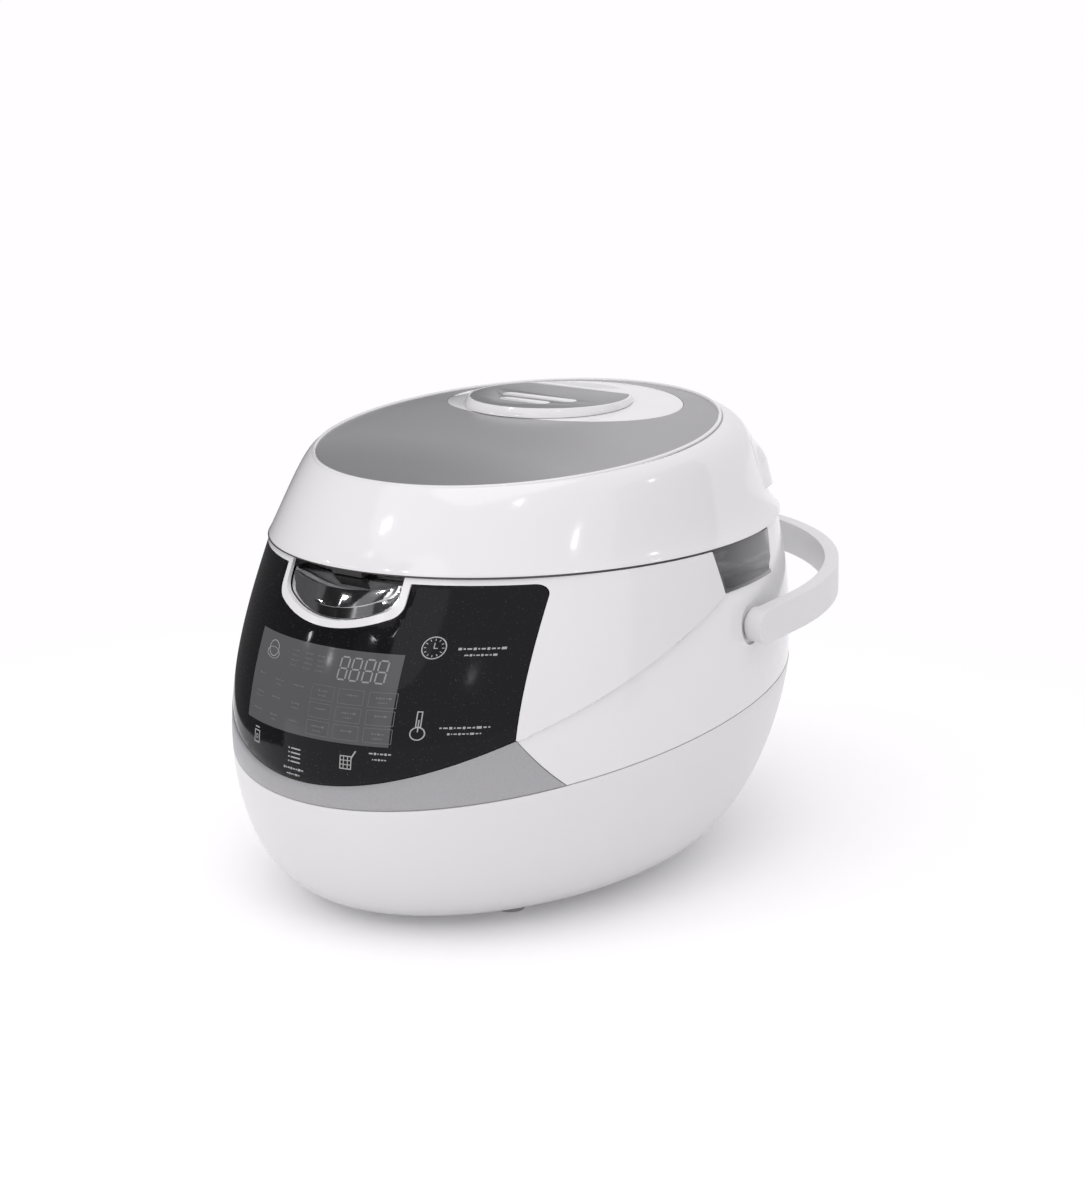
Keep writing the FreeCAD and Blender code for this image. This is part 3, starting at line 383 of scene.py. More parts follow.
@dataclass(frozen=True)
class GlossPanel:
    """Black gloss of the touch panel, with dust specks and wiped streaks."""

    name: str
    colour: Colour = (0.012, 0.012, 0.014)
    roughness: float = 0.07

    def make(self) -> bpy.types.Material:
        """Build the material."""
        sheet = Sheet(self.name)
        streak = sheet.noise(40.0, 3.0, sheet.place((1.0, 1.0, 0.25), (0.0, 18.0, 0.0))).within(0.5, 0.75)
        dust = sheet.noise(1500.0, 0.0).over(0.79)
        colour = sheet.blend(dust * 0.5, self.colour, (0.09, 0.09, 0.09))
        sheet.surface(Base_Color=colour, Roughness=self.roughness + streak * 0.08 + dust * 0.3,
                      Specular_IOR_Level=0.16, Normal=sheet.bump(sheet.noise(90.0, 1.0), 4e-6))
        return sheet.material


@dataclass(frozen=True)
class PrintedInk:
    """Screen print, a little uneven where the screen's mesh shows."""

    name: str
    colour: Colour
    roughness: float = 0.3

    def make(self) -> bpy.types.Material:
        """Build the material."""
        sheet = Sheet(self.name)
        grain = sheet.noise(2200.0, 1.0).within(0.3, 0.7)
        colour = sheet.blend(grain, shade(self.colour, 0.8), self.colour)
        sheet.surface(Base_Color=colour, Roughness=self.roughness + grain * 0.1)
        return sheet.material


@dataclass(frozen=True)
class DrawnMetal:
    """Bare metal with fine lines from drawing or turning."""

    name: str
    colour: Colour
    roughness: float = 0.3
    lines: Point = (1.0, 1.0, 40.0)

    def make(self) -> bpy.types.Material:
        """Build the material."""
        sheet = Sheet(self.name)
        grain = sheet.noise(90.0, 3.0, sheet.place(self.lines))
        colour = sheet.blend(grain, shade(self.colour, 0.85), shade(self.colour, 1.1))
        sheet.surface(Base_Color=colour, Metallic=1.0, Roughness=self.roughness + (grain - 0.5) * 0.2,
                      Normal=sheet.bump(grain, 6e-6))
        return sheet.material


@dataclass(frozen=True)
class Speckled:
    """Matt coating, rubber or board lacquer with fine specks."""

    name: str
    colour: Colour
    speck: Colour
    roughness: float = 0.6
    scale: float = 1200.0
    share: float = 0.25

    def make(self) -> bpy.types.Material:
        """Build the material."""
        sheet = Sheet(self.name)
        grain = sheet.noise(self.scale, 2.0)
        mask = grain.within(0.55, 0.72) * self.share
        sheet.surface(Base_Color=sheet.blend(mask, self.colour, self.speck),
                      Roughness=self.roughness + (grain - 0.5) * 0.15, Normal=sheet.bump(grain, 1.2e-5))
        return sheet.material


Finish = Union[MouldedPlastic, CoverLacquer, ShadedTroughGrey, SilverLacquer, PlatedChrome, GlossPanel, PrintedInk,
               DrawnMetal, Speckled]


# The cover's grey from front to rear, with painted shade and reflection.
COVER_SHADED_TONES = ((0.0, 0.24), (0.12, 0.27), (0.25, 0.345), (0.5, 0.35), (1.0, 0.295))


class Paints:
    """All finishes of the object, each made once."""

    def __init__(self) -> None:
        """List the finishes by the maker's words for them."""
        self.finishes: Dict[str, Finish] = {
            "white": MouldedPlastic("white_gloss", (0.79, 0.79, 0.79), 0.11, coat=0.3),
            "base_white": MouldedPlastic("white_satin", (0.76, 0.76, 0.765), 0.3),
            "handle_white": MouldedPlastic("handle_satin", (0.75, 0.75, 0.75), 0.38, peel=6e-6),
            # The cover's and the inlay's front-to-rear tone ramps are painted shade and reflection.
            "cover": CoverLacquer("cover_grey", COVER_SHADED_TONES, -140 * MM, 90 * MM),
            "inlay": CoverLacquer("inlay_grey", ((0.0, 0.24), (1.0, 0.27)), -60 * MM, 40 * MM),
            "silver": SilverLacquer("silver_trim", (0.38, 0.38, 0.39)),
            "chrome": PlatedChrome("button_chrome"),
            "panel": GlossPanel("panel_black", (0.008, 0.008, 0.009)),
            "display": GlossPanel("display_window", (0.095, 0.095, 0.098), 0.12),
            "ink": PrintedInk("panel_ink", (0.42, 0.42, 0.42)),
            "dim_ink": PrintedInk("panel_dim_ink", (0.16, 0.16, 0.165)),
            "digit": PrintedInk("digit_grey", (0.30, 0.30, 0.31)),
            # The trough's dark front and light rear are painted shade; its streaks are painted reflections.
            "trough": ShadedTroughGrey("trough_grey", (0.06, 0.06, 0.063), (0.30, 0.30, 0.305), -18 * MM, 44 * MM),
            # Dark grey of painted shade: the seam bead, and the lid catch and slider in the gap behind the
            # button.
            "shadow_gap": MouldedPlastic("gap_grey", (0.05, 0.05, 0.05), 0.5),
            "inside_white": MouldedPlastic("liner_white", (0.70, 0.70, 0.70), 0.4),
            "steel": DrawnMetal("spring_steel", (0.55, 0.55, 0.56), 0.32),
            "aluminium": DrawnMetal("cast_aluminium", (0.68, 0.68, 0.69), 0.38),
            "pin_brass": DrawnMetal("pin_brass", (0.68, 0.5, 0.24), 0.3),
            "coating": Speckled("pot_coating", (0.03, 0.03, 0.032), (0.3, 0.3, 0.3), 0.35),
            "rubber": Speckled("foot_rubber", (0.42, 0.42, 0.42), (0.55, 0.55, 0.55), 0.7),
            "silicone": Speckled("seal_silicone", (0.66, 0.66, 0.64), (0.75, 0.75, 0.74), 0.55),
            "board": Speckled("board_lacquer", (0.02, 0.12, 0.05), (0.35, 0.32, 0.12), 0.4, 700.0, 0.5),
            "black": Speckled("black_moulding", (0.03, 0.03, 0.03), (0.08, 0.08, 0.08), 0.5),
        }
        self.made: Dict[str, bpy.types.Material] = {}

    def get(self, word: str) -> bpy.types.Material:
        """The material of a finish."""
        if word not in self.made:
            self.made[word] = self.finishes[word].make()
        return self.made[word]


class Workbench:
    """Modelling steps, each done with the operators that one would use by hand."""

    def __init__(self, frame: Dict[str, Any]) -> None:
        """Keep the frame's nodes and the finishes."""
        self.nodes: Dict[str, bpy.types.Object] = frame["nodes"]
        self.paints = Paints()

    def only(self, piece: bpy.types.Object) -> None:
        """Select one object alone and make it active."""
        bpy.ops.object.select_all(action="DESELECT")
        piece.select_set(True)
        bpy.context.view_layer.objects.active = piece

    def twin(self, node: str, name: str) -> bpy.types.Object:
        """A copy of a frame node whose triangles are joined up.

        Args:
            node: the frame node.
            name: the new piece's name.
        Returns:
            The new piece.
        """
        piece = bpy.data.objects.new(name, self.nodes[node].data.copy())
        bpy.context.scene.collection.objects.link(piece)
        self.only(piece)
        bpy.ops.object.mode_set(mode="EDIT")
        bpy.ops.mesh.select_all(action="SELECT")
        bpy.ops.mesh.remove_doubles(threshold=2e-6)
        bpy.ops.mesh.dissolve_degenerate(threshold=1e-6)
        bpy.ops.object.mode_set(mode="OBJECT")
        if piece.data.has_custom_normals:
            bpy.ops.mesh.customdata_custom_splitnormals_clear()
        return piece

    def soften(self, piece: bpy.types.Object, width: float, segments: int = 2, angle: float = 45.0) -> None:
        """Round a piece's sharp edges.

        Args:
            piece: the piece.
            width: width of the rounding.
            segments: facets across it.
            angle: edges sharper than this are rounded, in degrees.
        """
        self.only(piece)
        bpy.ops.object.mode_set(mode="EDIT")
        bpy.ops.mesh.select_all(action="SELECT")
        bpy.ops.mesh.dissolve_limited(angle_limit=math.radians(0.1))
        bpy.ops.object.mode_set(mode="OBJECT")
        bpy.ops.object.modifier_add(type="BEVEL")
        bevel = piece.modifiers[-1]
        bevel.width = width
        bevel.segments = segments
        bevel.limit_method = "ANGLE"
        bevel.angle_limit = math.radians(angle)
        bpy.ops.object.modifier_apply(modifier=bevel.name)

    def melt(self, piece: bpy.types.Object, grain: float, rounds: int) -> None:
        """Turn a hard-edged piece into a soft bulge.

        Args:
            piece: the piece.
            grain: size of the new faces.
            rounds: how often they are evened out.
        """
        self.only(piece)
        bpy.ops.object.modifier_add(type="REMESH")
        remesh = piece.modifiers[-1]
        remesh.mode = "VOXEL"
        remesh.voxel_size = grain
        bpy.ops.object.modifier_apply(modifier=remesh.name)
        bpy.ops.object.modifier_add(type="SMOOTH")
        even = piece.modifiers[-1]
        even.factor = 0.5
        even.iterations = rounds
        bpy.ops.object.modifier_apply(modifier=even.name)

    def smooth(self, piece: bpy.types.Object, angle: float = 35.0) -> None:
        """Shade smooth, except over edges sharper than an angle in degrees."""
        self.only(piece)
        bpy.ops.object.shade_smooth_by_angle(angle=math.radians(angle))

    def dress(self, piece: bpy.types.Object, finish: str) -> None:
        """Give a piece one finish."""
        piece.data.materials.clear()
        piece.data.materials.append(self.paints.get(finish))

    def hand_over(self, piece: bpy.types.Object, finish: str, body: Body, slot: str, *nodes: str) -> None:
        """Dress a piece and put it on its body.

        Args:
            piece: the finished piece.
            finish: the finish's word.
            body: the body it rides on.
            slot: the record's material slot; not used.
            nodes: the frame nodes that it stands for.
        """
        self.dress(piece, finish)
        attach(piece, body.value)
        if nodes:
            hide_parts(*nodes)
        LOG.info("%s: %d faces on %s", piece.name, len(piece.data.polygons), body.value)

    def refined(self, node: str, name: str, finish: str, body: Body, slot: str, width: float = 0.0,
                angle: float = 35.0) -> bpy.types.Object:
        """A frame node's form with softened edges and smooth shading, in its place.

        Args:
            node: the frame node.
            name: the new piece's name.
            finish: the finish's word.
            body: the body it rides on.
            slot: the record's material slot; not used.
            width: width of the edges' rounding, or 0.
            angle: edges sharper than this stay sharp, in degrees.
        Returns:
            The new piece.
        """
        piece = self.twin(node, name)
        if width:
            self.soften(piece, width)
        self.smooth(piece, angle)
        self.hand_over(piece, finish, body, slot, node)
        return piece

    def join(self, pieces: Sequence[bpy.types.Object], name: str) -> bpy.types.Object:
        """Join objects into one, with its place in its mesh.

        Args:
            pieces: the objects.
            name: the name of the result.
        Returns:
            The joined object.
        """
        bpy.ops.object.select_all(action="DESELECT")
        for piece in pieces:
            piece.select_set(True)
        bpy.context.view_layer.objects.active = pieces[0]
        if len(pieces) > 1:
            bpy.ops.object.join()
        whole = bpy.context.view_layer.objects.active
        whole.name = name
        bpy.ops.object.transform_apply(location=True, rotation=True, scale=True)
        return whole

    def oval_bead(self, name: str, half_x: float, half_y: float, centre: Point, tilt: float, thick: float
                  ) -> bpy.types.Object:
        """A round bead along an oval.

        Args:
            name: the piece's name.
            half_x: the oval's half width.
            half_y: the oval's half depth.
            centre: its centre.
            tilt: its tilt about X in degrees, up at the front for negative values.
            thick: the bead's radius.
        Returns:
            The bead as a mesh.
        """
        bpy.ops.object.select_all(action="DESELECT")
        bpy.ops.curve.primitive_bezier_circle_add(radius=1.0)
        ring = bpy.context.view_layer.objects.active
        bpy.ops.object.mode_set(mode="EDIT")
        bpy.ops.curve.select_all(action="SELECT")
        bpy.ops.transform.resize(value=(half_x, half_y, 1.0))
        bpy.ops.object.mode_set(mode="OBJECT")
        ring.data.resolution_u = 48
        ring.data.bevel_depth = thick
        ring.data.bevel_resolution = 3
        ring.location = centre
        ring.rotation_euler = (math.radians(tilt), 0.0, 0.0)
        bpy.ops.object.convert(target="MESH")
        ring = bpy.context.view_layer.objects.active
        ring.name = name
        bpy.ops.object.transform_apply(location=True, rotation=True, scale=True)
        self.smooth(ring, 60.0)
        return ring


@dataclass
class LidLooks:
    """Lid shell, its grey cover with the bead round it, the vent ring and the rear cover."""

    bench: Workbench
    crown_half: float = 106.0 * MM
    crown_depth: float = 122.5 * MM
    crown_centre: Point = (0.0, POT_Y + 8.5 * MM, 243.5 * MM)
    crown_tilt: float = 5.0
    bead: float = 1.1 * MM
    bead_out: float = 0.4 * MM
    groove: float = 0.7 * MM
    groove_out: float = 1.6 * MM
    groove_drop: float = 1.0 * MM
    shell_edge: float = 0.9 * MM
    vent_edge: float = 0.5 * MM
    bulge_angle: float = 80.0
    rear_grain: float = 1.0 * MM
    rear_rounds: int = 5
    rear_proud: float = 5.0 * MM
    rear_start: float = 70.0 * MM
    rear_run: float = 26.0 * MM
    rear_top: float = 236.0 * MM
    rear_fall: float = 16.0 * MM
    # A dark bead in the seam under the lid, as painted shade of the seam.
    lip_half: float = 130.3 * MM
    lip_depth: float = 161.1 * MM
    lip_centre: Point = (0.0, -7.45 * MM, 192.8 * MM)
    lip: float = 0.5 * MM
    lip_end: float = 95.0 * MM

    def build(self) -> None:
        """Make the lid's outside."""
        bench = self.bench
        bench.refined("lid_outer_shell", "lid_shell", "white", Body.LID, "white_gloss", self.shell_edge, 40.0)
        bench.refined("lid_top_cover", "lid_cover", "cover", Body.LID, "cover_grey")
        bench.refined("steam_vent_ring", "vent_ring", "white", Body.LID, "white_gloss", self.vent_edge)
        rear = bench.twin("hinge_cover", "rear_cover")
        bench.melt(rear, self.rear_grain, self.rear_rounds)
        self.taper(rear)
        bench.smooth(rear, self.bulge_angle)
        bench.hand_over(rear, "white", Body.LID, "white_gloss", "hinge_cover")
        bead = bench.oval_bead("cover_bead", self.crown_half + self.bead_out,
                               self.crown_depth + self.bead_out, self.crown_centre, self.crown_tilt,
                               self.bead)
        bench.hand_over(bead, "white", Body.LID, "white_gloss")
        lower = (self.crown_centre[0], self.crown_centre[1], self.crown_centre[2] - self.groove_drop)
        groove = bench.oval_bead("cover_groove", self.crown_half + self.groove_out,
                                 self.crown_depth + self.groove_out, lower, self.crown_tilt, self.groove)
        bench.hand_over(groove, "silver", Body.LID, "cover_grey")
        self.lay_seam_shade()
        self.dress_inside()

    def taper(self, cover: bpy.types.Object) -> None:
        """Sink the hinge cover's front and top edges into the lid, so that it rises from it as a bulge.

        Args:
            cover: the cover's piece.
        """
        for vertex in cover.data.vertices:
            ahead = ease((vertex.co.y - self.rear_start) / self.rear_run)
            under = ease((self.rear_top - vertex.co.z) / self.rear_fall)
            vertex.co -= away(vertex.co) * (self.rear_proud * (1.0 - ahead * under))

    def lay_seam_shade(self) -> None:
        """Lay a dark bead along the lid's lower edge, ending at the hinge's cover: painted shade that darkens
        the seam.
        """
        lip = self.bench.oval_bead("seam_shade_bead", self.lip_half, self.lip_depth, self.lip_centre, 0.0, self.lip)
        bpy.ops.object.mode_set(mode="EDIT")
        bpy.ops.mesh.select_all(action="SELECT")
        bpy.ops.mesh.bisect(plane_co=(0.0, self.lip_end, 0.0), plane_no=(0.0, 1.0, 0.0), clear_outer=True,
                            use_fill=True)
        bpy.ops.object.mode_set(mode="OBJECT")
        self.bench.hand_over(lip, "shadow_gap", Body.LID, "black_plastic")

    def dress_inside(self) -> None:
        """Dress the pieces under the lid."""
        words = {"steam_valve_body": "inside_white", "steam_valve_gasket": "silicone",
                 "lid_inner_shell": "inside_white", "inner_lid_plate": "aluminium",
                 # The lid catch is dark grey as painted shade in the gap behind the button.
                 "inner_lid_gasket": "silicone", "inner_lid_clip": "silicone", "lid_catch": "shadow_gap",
                 "lid_screws": "steel", "lid_hinge_arm": "inside_white"}
        for node, word in words.items():
            self.bench.dress(self.bench.nodes[node], word)


@dataclass
class SteamCapLooks:
    """Cap of the steam valve and its grey inlay."""

    bench: Workbench
    cap_edge: float = 0.2 * MM
    inlay_edge: float = 0.15 * MM

    def build(self) -> None:
        """Make the cap and the inlay."""
        self.bench.refined("steam_valve_cap", "valve_cap", "white", Body.CAP, "white_gloss", self.cap_edge)
        self.bench.refined("steam_cap_inlay", "cap_inlay", "inlay", Body.CAP, "cover_grey", self.inlay_edge)


@dataclass
class ShellLooks:
    """Upper shell with the raised fascia, base shell, trim, side troughs and feet."""

    bench: Workbench
    crease_point: Point = (0.0, POT_Y + 11.6 * MM, 168.0 * MM)
    crease_normal: Point = (0.0, -0.378, 0.926)
    crease_depth: float = 1.8 * MM
    crease_ramp: float = 1.0 * MM
    fade_low: float = 98.0 * MM
    fade_high: float = 132.0 * MM
    crease_angle: float = 24.0
    fine_edge: float = 0.5 * MM
    trim_edge: float = 0.6 * MM
    foot_edge: float = 1.0 * MM

    def build(self) -> None:
        """Make the body's outside."""
        bench = self.bench
        upper = bench.twin("upper_body_shell", "upper_shell")
        self.press_crease(upper)
        bench.smooth(upper, self.crease_angle)
        bench.hand_over(upper, "white", Body.BASE, "white_gloss", "upper_body_shell")
        bench.refined("base_shell", "lower_shell", "base_white", Body.BASE, "white_satin", self.fine_edge,
                      40.0)
        bench.refined("front_trim", "silver_strip", "silver", Body.BASE, "silver_trim", self.trim_edge)
        for side in ("right", "left"):
            bench.refined(f"condensate_trough_{side}", f"side_trough_{side}", "trough", Body.BASE,
                          "trough_grey", self.fine_edge)
        bench.refined("feet", "rubber_feet", "rubber", Body.BASE, "rubber_grey", self.foot_edge)

    def press_crease(self, shell: bpy.types.Object) -> None:
        """Lower the outside below the crease, which runs from the trim's corner up to the side window.

        Args:
            shell: the upper shell's piece.
        """
        normal = Vector(self.crease_normal).normalized()
        start = Vector(self.crease_point)
        self.bench.only(shell)
        bpy.ops.object.mode_set(mode="EDIT")
        for step in (0.0, self.crease_ramp):
            bpy.ops.mesh.select_all(action="SELECT")
            bpy.ops.mesh.bisect(plane_co=start - normal * step, plane_no=normal)
        bpy.ops.object.mode_set(mode="OBJECT")
        for vertex in shell.data.vertices:
            below = (vertex.co - start).dot(normal) < -0.9 * self.crease_ramp
            outward = away(vertex.co)
            if not below or vertex.normal.dot(outward) < 0.2:
                continue
            rise = (vertex.co.z - self.fade_low) / (self.fade_high - self.fade_low)
            share = min(max(rise, 0.0), 1.0)
            vertex.co -= outward * (self.crease_depth * share)


@dataclass
class PanelPrint:
    """Flat graphics that are laid on the touch panel: X across, Z up, seen from the front."""

    bench: Workbench
    front_y: float = -240.0 * MM
    pattern: Sequence[float] = (1.1, 0.7, 1.4, 0.9, 0.5, 1.2, 0.8)
    parts: List[bpy.types.Object] = field(default_factory=list)

    def bar(self, x: float, z: float, width: float, height: float, turn: float = 0.0) -> None:
        """A filled bar.

        Args:
            x: its middle across, in millimetres.
            z: its middle up, in millimetres.
            width: its width, in millimetres.
            height: its height, in millimetres.
            turn: its turn in the panel's plane, in degrees.
        """
        bpy.ops.object.select_all(action="DESELECT")
        bpy.ops.mesh.primitive_plane_add(size=1.0, location=(x * MM, self.front_y, z * MM))
        plane = bpy.context.view_layer.objects.active
        plane.scale = (width * MM, height * MM, 1.0)
        plane.rotation_euler = (math.pi / 2, math.radians(-turn), 0.0)
        bpy.ops.object.transform_apply(location=False, rotation=True, scale=True)
        cuts = int(max(width, height) // 4)
        if cuts:
            bpy.ops.object.mode_set(mode="EDIT")
            bpy.ops.mesh.select_all(action="SELECT")
            bpy.ops.mesh.subdivide(number_cuts=min(cuts, 24))
            bpy.ops.object.mode_set(mode="OBJECT")
        self.parts.append(plane)

    def hollow(self, x: float, z: float, width: float, height: float, line: float) -> None:
        """A rectangle's outline of four bars."""
        self.bar(x, z + (height - line) / 2, width, line)
        self.bar(x, z - (height - line) / 2, width, line)
        self.bar(x - (width - line) / 2, z, line, height - 2 * line)
        self.bar(x + (width - line) / 2, z, line, height - 2 * line)

    def marks(self, x: float, z: float, span: float, height: float, turn: int = 0) -> None:
        """A row of short marks that stands for a label, without letters.

        Args:
            x: the row's middle across, in millimetres.
            z: its middle up, in millimetres.
            span: its length, in millimetres.
            height: the marks' height, in millimetres.
            turn: which mark of the pattern comes first.
        """
        place = x - span / 2
        while place < x + span / 2:
            long = self.pattern[turn % len(self.pattern)] * height
            self.bar(place + long / 2, z, long, height * (0.55 if turn % 3 else 0.9))
            place += long + 0.45 * height
            turn += 1

    def ring(self, x: float, z: float, radius: float, line: float, squeeze: float = 1.0) -> None:
        """A round or squeezed outline.

        Args:
            x: its middle across, in millimetres.
            z: its middle up, in millimetres.
            radius: its outer radius, in millimetres.
            line: the line's width, in millimetres.
            squeeze: its height as a share of its width.
        """
        bpy.ops.object.select_all(action="DESELECT")
        bpy.ops.mesh.primitive_circle_add(vertices=40, radius=radius * MM, fill_type="NGON",
                                          location=(x * MM, self.front_y, z * MM))
        disc = bpy.context.view_layer.objects.active
        bpy.ops.object.mode_set(mode="EDIT")
        bpy.ops.mesh.select_all(action="SELECT")
        bpy.ops.mesh.inset(thickness=line * MM)
        bpy.ops.mesh.delete(type="FACE")
        bpy.ops.object.mode_set(mode="OBJECT")
        disc.scale = (1.0, squeeze, 1.0)
        disc.rotation_euler = (math.pi / 2, 0.0, 0.0)
        bpy.ops.object.transform_apply(location=False, rotation=True, scale=True)
        self.parts.append(disc)

    def lay(self, name: str, finish: str, slot: str, lift: float, target: bpy.types.Object
            ) -> bpy.types.Object:
        """Join what was drawn, and lay it on the panel as a thin skin.

        Args:
            name: the piece's name.
            finish: the finish's word.
            slot: the record's material slot; not used.
            lift: how far it stands off the panel.
            target: the panel's piece.
        Returns:
            The laid piece.
        """
        piece = self.bench.join(self.parts, name)
        self.parts = []
        bpy.ops.object.modifier_add(type="SHRINKWRAP")
        wrap = piece.modifiers[-1]
        wrap.target = target
        wrap.wrap_method = "PROJECT"
        wrap.use_project_y = True
        wrap.use_negative_direction = False
        wrap.use_positive_direction = True
        bpy.ops.object.modifier_apply(modifier=wrap.name)
        for vertex in piece.data.vertices:
            vertex.co.y -= lift
        bpy.ops.object.modifier_add(type="SOLIDIFY")
        skin = piece.modifiers[-1]
        skin.thickness = lift * 1.5
        skin.offset = -1.0
        bpy.ops.object.modifier_apply(modifier=skin.name)
        self.bench.smooth(piece, 30.0)
        self.bench.hand_over(piece, finish, Body.BASE, slot)
        return piece


@dataclass
class PanelLooks:
    """Touch panel with its display, keys and pictograms; words are left off."""

    bench: Workbench
    lift: float = 0.07 * MM
    digit_columns: Sequence[float] = (18.8, 25.6, 32.6, 39.4)
    key_columns: Sequence[float] = (-38.0, -22.6, -7.2, 9.4, 26.0, 42.6)
    key_rows: Sequence[float] = (134.0, 125.2, 116.4)
    framed_from: int = 3
    labels: Sequence[Point] = ((79.0, 158.0, 17.0), (79.0, 120.0, 19.0), (44.5, 106.0, 10.0),
                               (-5.0, 91.5, 13.0))
    panel_edge: float = 0.5 * MM

    def build(self) -> None:
        """Make the panel and lay its graphics on it."""
        panel = self.bench.refined("control_panel", "touch_panel", "panel", Body.BASE, "panel_black",
                                   self.panel_edge)
        draw = PanelPrint(self.bench)
        draw.bar(0.5, 133.5, 96.0, 45.0)
        draw.lay("display_pane", "display", "panel_black", self.lift, panel)
        self.draw_digits(draw)
        draw.lay("display_digits", "digit", "panel_black", 2 * self.lift, panel)
        self.draw_keys(draw)
        draw.lay("key_print", "dim_ink", "panel_black", 2 * self.lift, panel)
        self.draw_pictograms(draw)
        draw.lay("pictogram_print", "ink", "panel_black", 2 * self.lift, panel)

    def draw_digits(self, draw: PanelPrint) -> None:
        """Four digits of seven thin bars each."""
        height = 10.8
        width = 4.6
        middle = 147.2
        for column in self.digit_columns:
            for level in (-0.5, 0.0, 0.5):
                draw.bar(column + level * 0.8, middle + level * height, width - 1.0, 0.75)
            for side in (-0.5, 0.5):
                for level in (-0.25, 0.25):
                    draw.bar(column + side * width + level * 0.8, middle + level * height, 0.75,
                             height / 2 - 1.0, -4.0)

    def draw_keys(self, draw: PanelPrint) -> None:
        """Rows of outlined keys, each with a plain mark, and tick marks beside the digits."""
        for row, level in enumerate(self.key_rows):
            for column, x in enumerate(self.key_columns):
                if column >= self.framed_from:
                    draw.hollow(x, level, 14.0, 7.4, 0.25)
                draw.marks(x, level + 0.9, 5.0 + (row + column) % 3, 1.1, row + column)
                if (row + column) % 2:
                    draw.marks(x, level - 1.4, 4.4, 0.9, column)
        for column in (-14.0, -4.0, 4.6):
            for turn, level in enumerate((151.0, 148.6, 146.2, 143.8)):
                draw.marks(column, level, 5.0, 0.8, turn)

    def draw_pictograms(self, draw: PanelPrint) -> None:
        """Generic signs: bowl, box, list, cube, clock, thermometer and pairs of plain bars."""
        draw.ring(-32.5, 146.4, 5.6, 0.4, 0.5)
        draw.ring(-32.5, 148.6, 4.4, 0.4, 0.9)
        draw.hollow(-36.0, 103.0, 5.0, 6.6, 0.5)
        draw.bar(-36.0, 107.8, 4.0, 0.6)
        draw.ring(-36.0, 103.0, 1.2, 0.4)
        for index in range(4):
            draw.bar(-3.2, 103.6 - 2.3 * index, 6.6, 0.7)
            draw.bar(-7.9, 103.6 - 2.3 * index, 0.9, 0.7)
        draw.hollow(27.6, 101.6, 6.4, 7.0, 0.5)
        for offset in (-1.1, 1.1):
            draw.bar(27.6 + offset, 101.6, 0.4, 6.0)
            draw.bar(27.6, 101.6 + offset, 5.6, 0.4)
        draw.bar(31.6, 106.0, 0.7, 4.4, -30.0)
        draw.ring(60.3, 159.9, 5.4, 0.5)
        for index in range(12):
            angle = math.radians(30 * index)
            draw.bar(60.3 + 3.9 * math.sin(angle), 159.9 + 3.9 * math.cos(angle), 0.35, 1.0, -30.0 * index)
        draw.bar(60.3, 161.0, 0.4, 2.6)
        draw.bar(61.1, 159.7, 1.8, 0.4)
        draw.ring(60.6, 118.6, 3.4, 0.55)
        draw.hollow(60.6, 125.6, 2.6, 8.0, 0.5)
        draw.bar(60.6, 122.4, 0.5, 6.0)
        for turn, (x, z, span) in enumerate(self.labels):
            draw.marks(x, z + 1.5, span, 1.3, turn)
            draw.marks(x, z - 1.5, span * 0.65, 1.1, turn + 2)


@dataclass
class ButtonLooks:
    """Chrome lid button and the slider behind it."""

    bench: Workbench
    edge: float = 0.7 * MM

    def build(self) -> None:
        """Make the button."""
        self.bench.refined("release_button", "lid_button", "chrome", Body.BUTTON, "chrome", self.edge, 30.0)
        # The slider is dark grey as painted shade in the gap behind the button.
        self.bench.dress(self.bench.nodes["latch_slider"], "shadow_gap")


@dataclass
class HandleLooks:
    """Folding carry handle with rounded edges."""

    bench: Workbench
    edge: float = 2.2 * MM

    def build(self) -> None:
        """Make the handle and dress its fasteners."""
        handle = self.bench.twin("carry_handle", "handle_strap")
        self.bench.soften(handle, self.edge, 3, 50.0)
        self.bench.smooth(handle, 40.0)
        self.bench.hand_over(handle, "handle_white", Body.HANDLE, "handle_white", "carry_handle")
        for node in ("handle_washers", "handle_screws"):
            self.bench.dress(self.bench.nodes[node], "steel")


@dataclass
class InsideLooks:
    """Finishes of what shows when the lid is open, and of what lies inside."""

    bench: Workbench

    def build(self) -> None:
        """Dress the inner nodes."""
        words = {"top_deck": "inside_white", "inner_pot": "coating", "inner_jacket": "aluminium",
                 "heating_plate": "aluminium", "heating_element": "steel", "plate_spacers": "steel",
                 "thermostat_housing": "steel", "thermostat_spring": "steel",
                 "thermostat_sensor": "aluminium", "button_spring": "steel", "hinge_pin": "steel",
                 "hinge_spring": "steel", "control_board": "board",
                 "display_module": "black", "control_board_frame": "inside_white", "power_board": "board",
                 "power_board_parts": "black", "power_inlet": "black", "inlet_pins": "pin_brass",
                 "base_screws": "steel"}
        for node, word in words.items():
            self.bench.dress(self.bench.nodes[node], word)


@dataclass(frozen=True)
class Lamp:
    """One soft box or small lamp: the spot that it shines at, the way to it from there, and its light."""

    name: str
    target: Point
    way: Point
    reach: float
    width: float
    power: float


@dataclass(frozen=True)
class Card:
    """A dark card like the unlit room around the table. Mirrors see it; a flag takes light away too."""

    name: str
    place: Point
    width: float
    height: float
    tone: float
    flag: bool = False


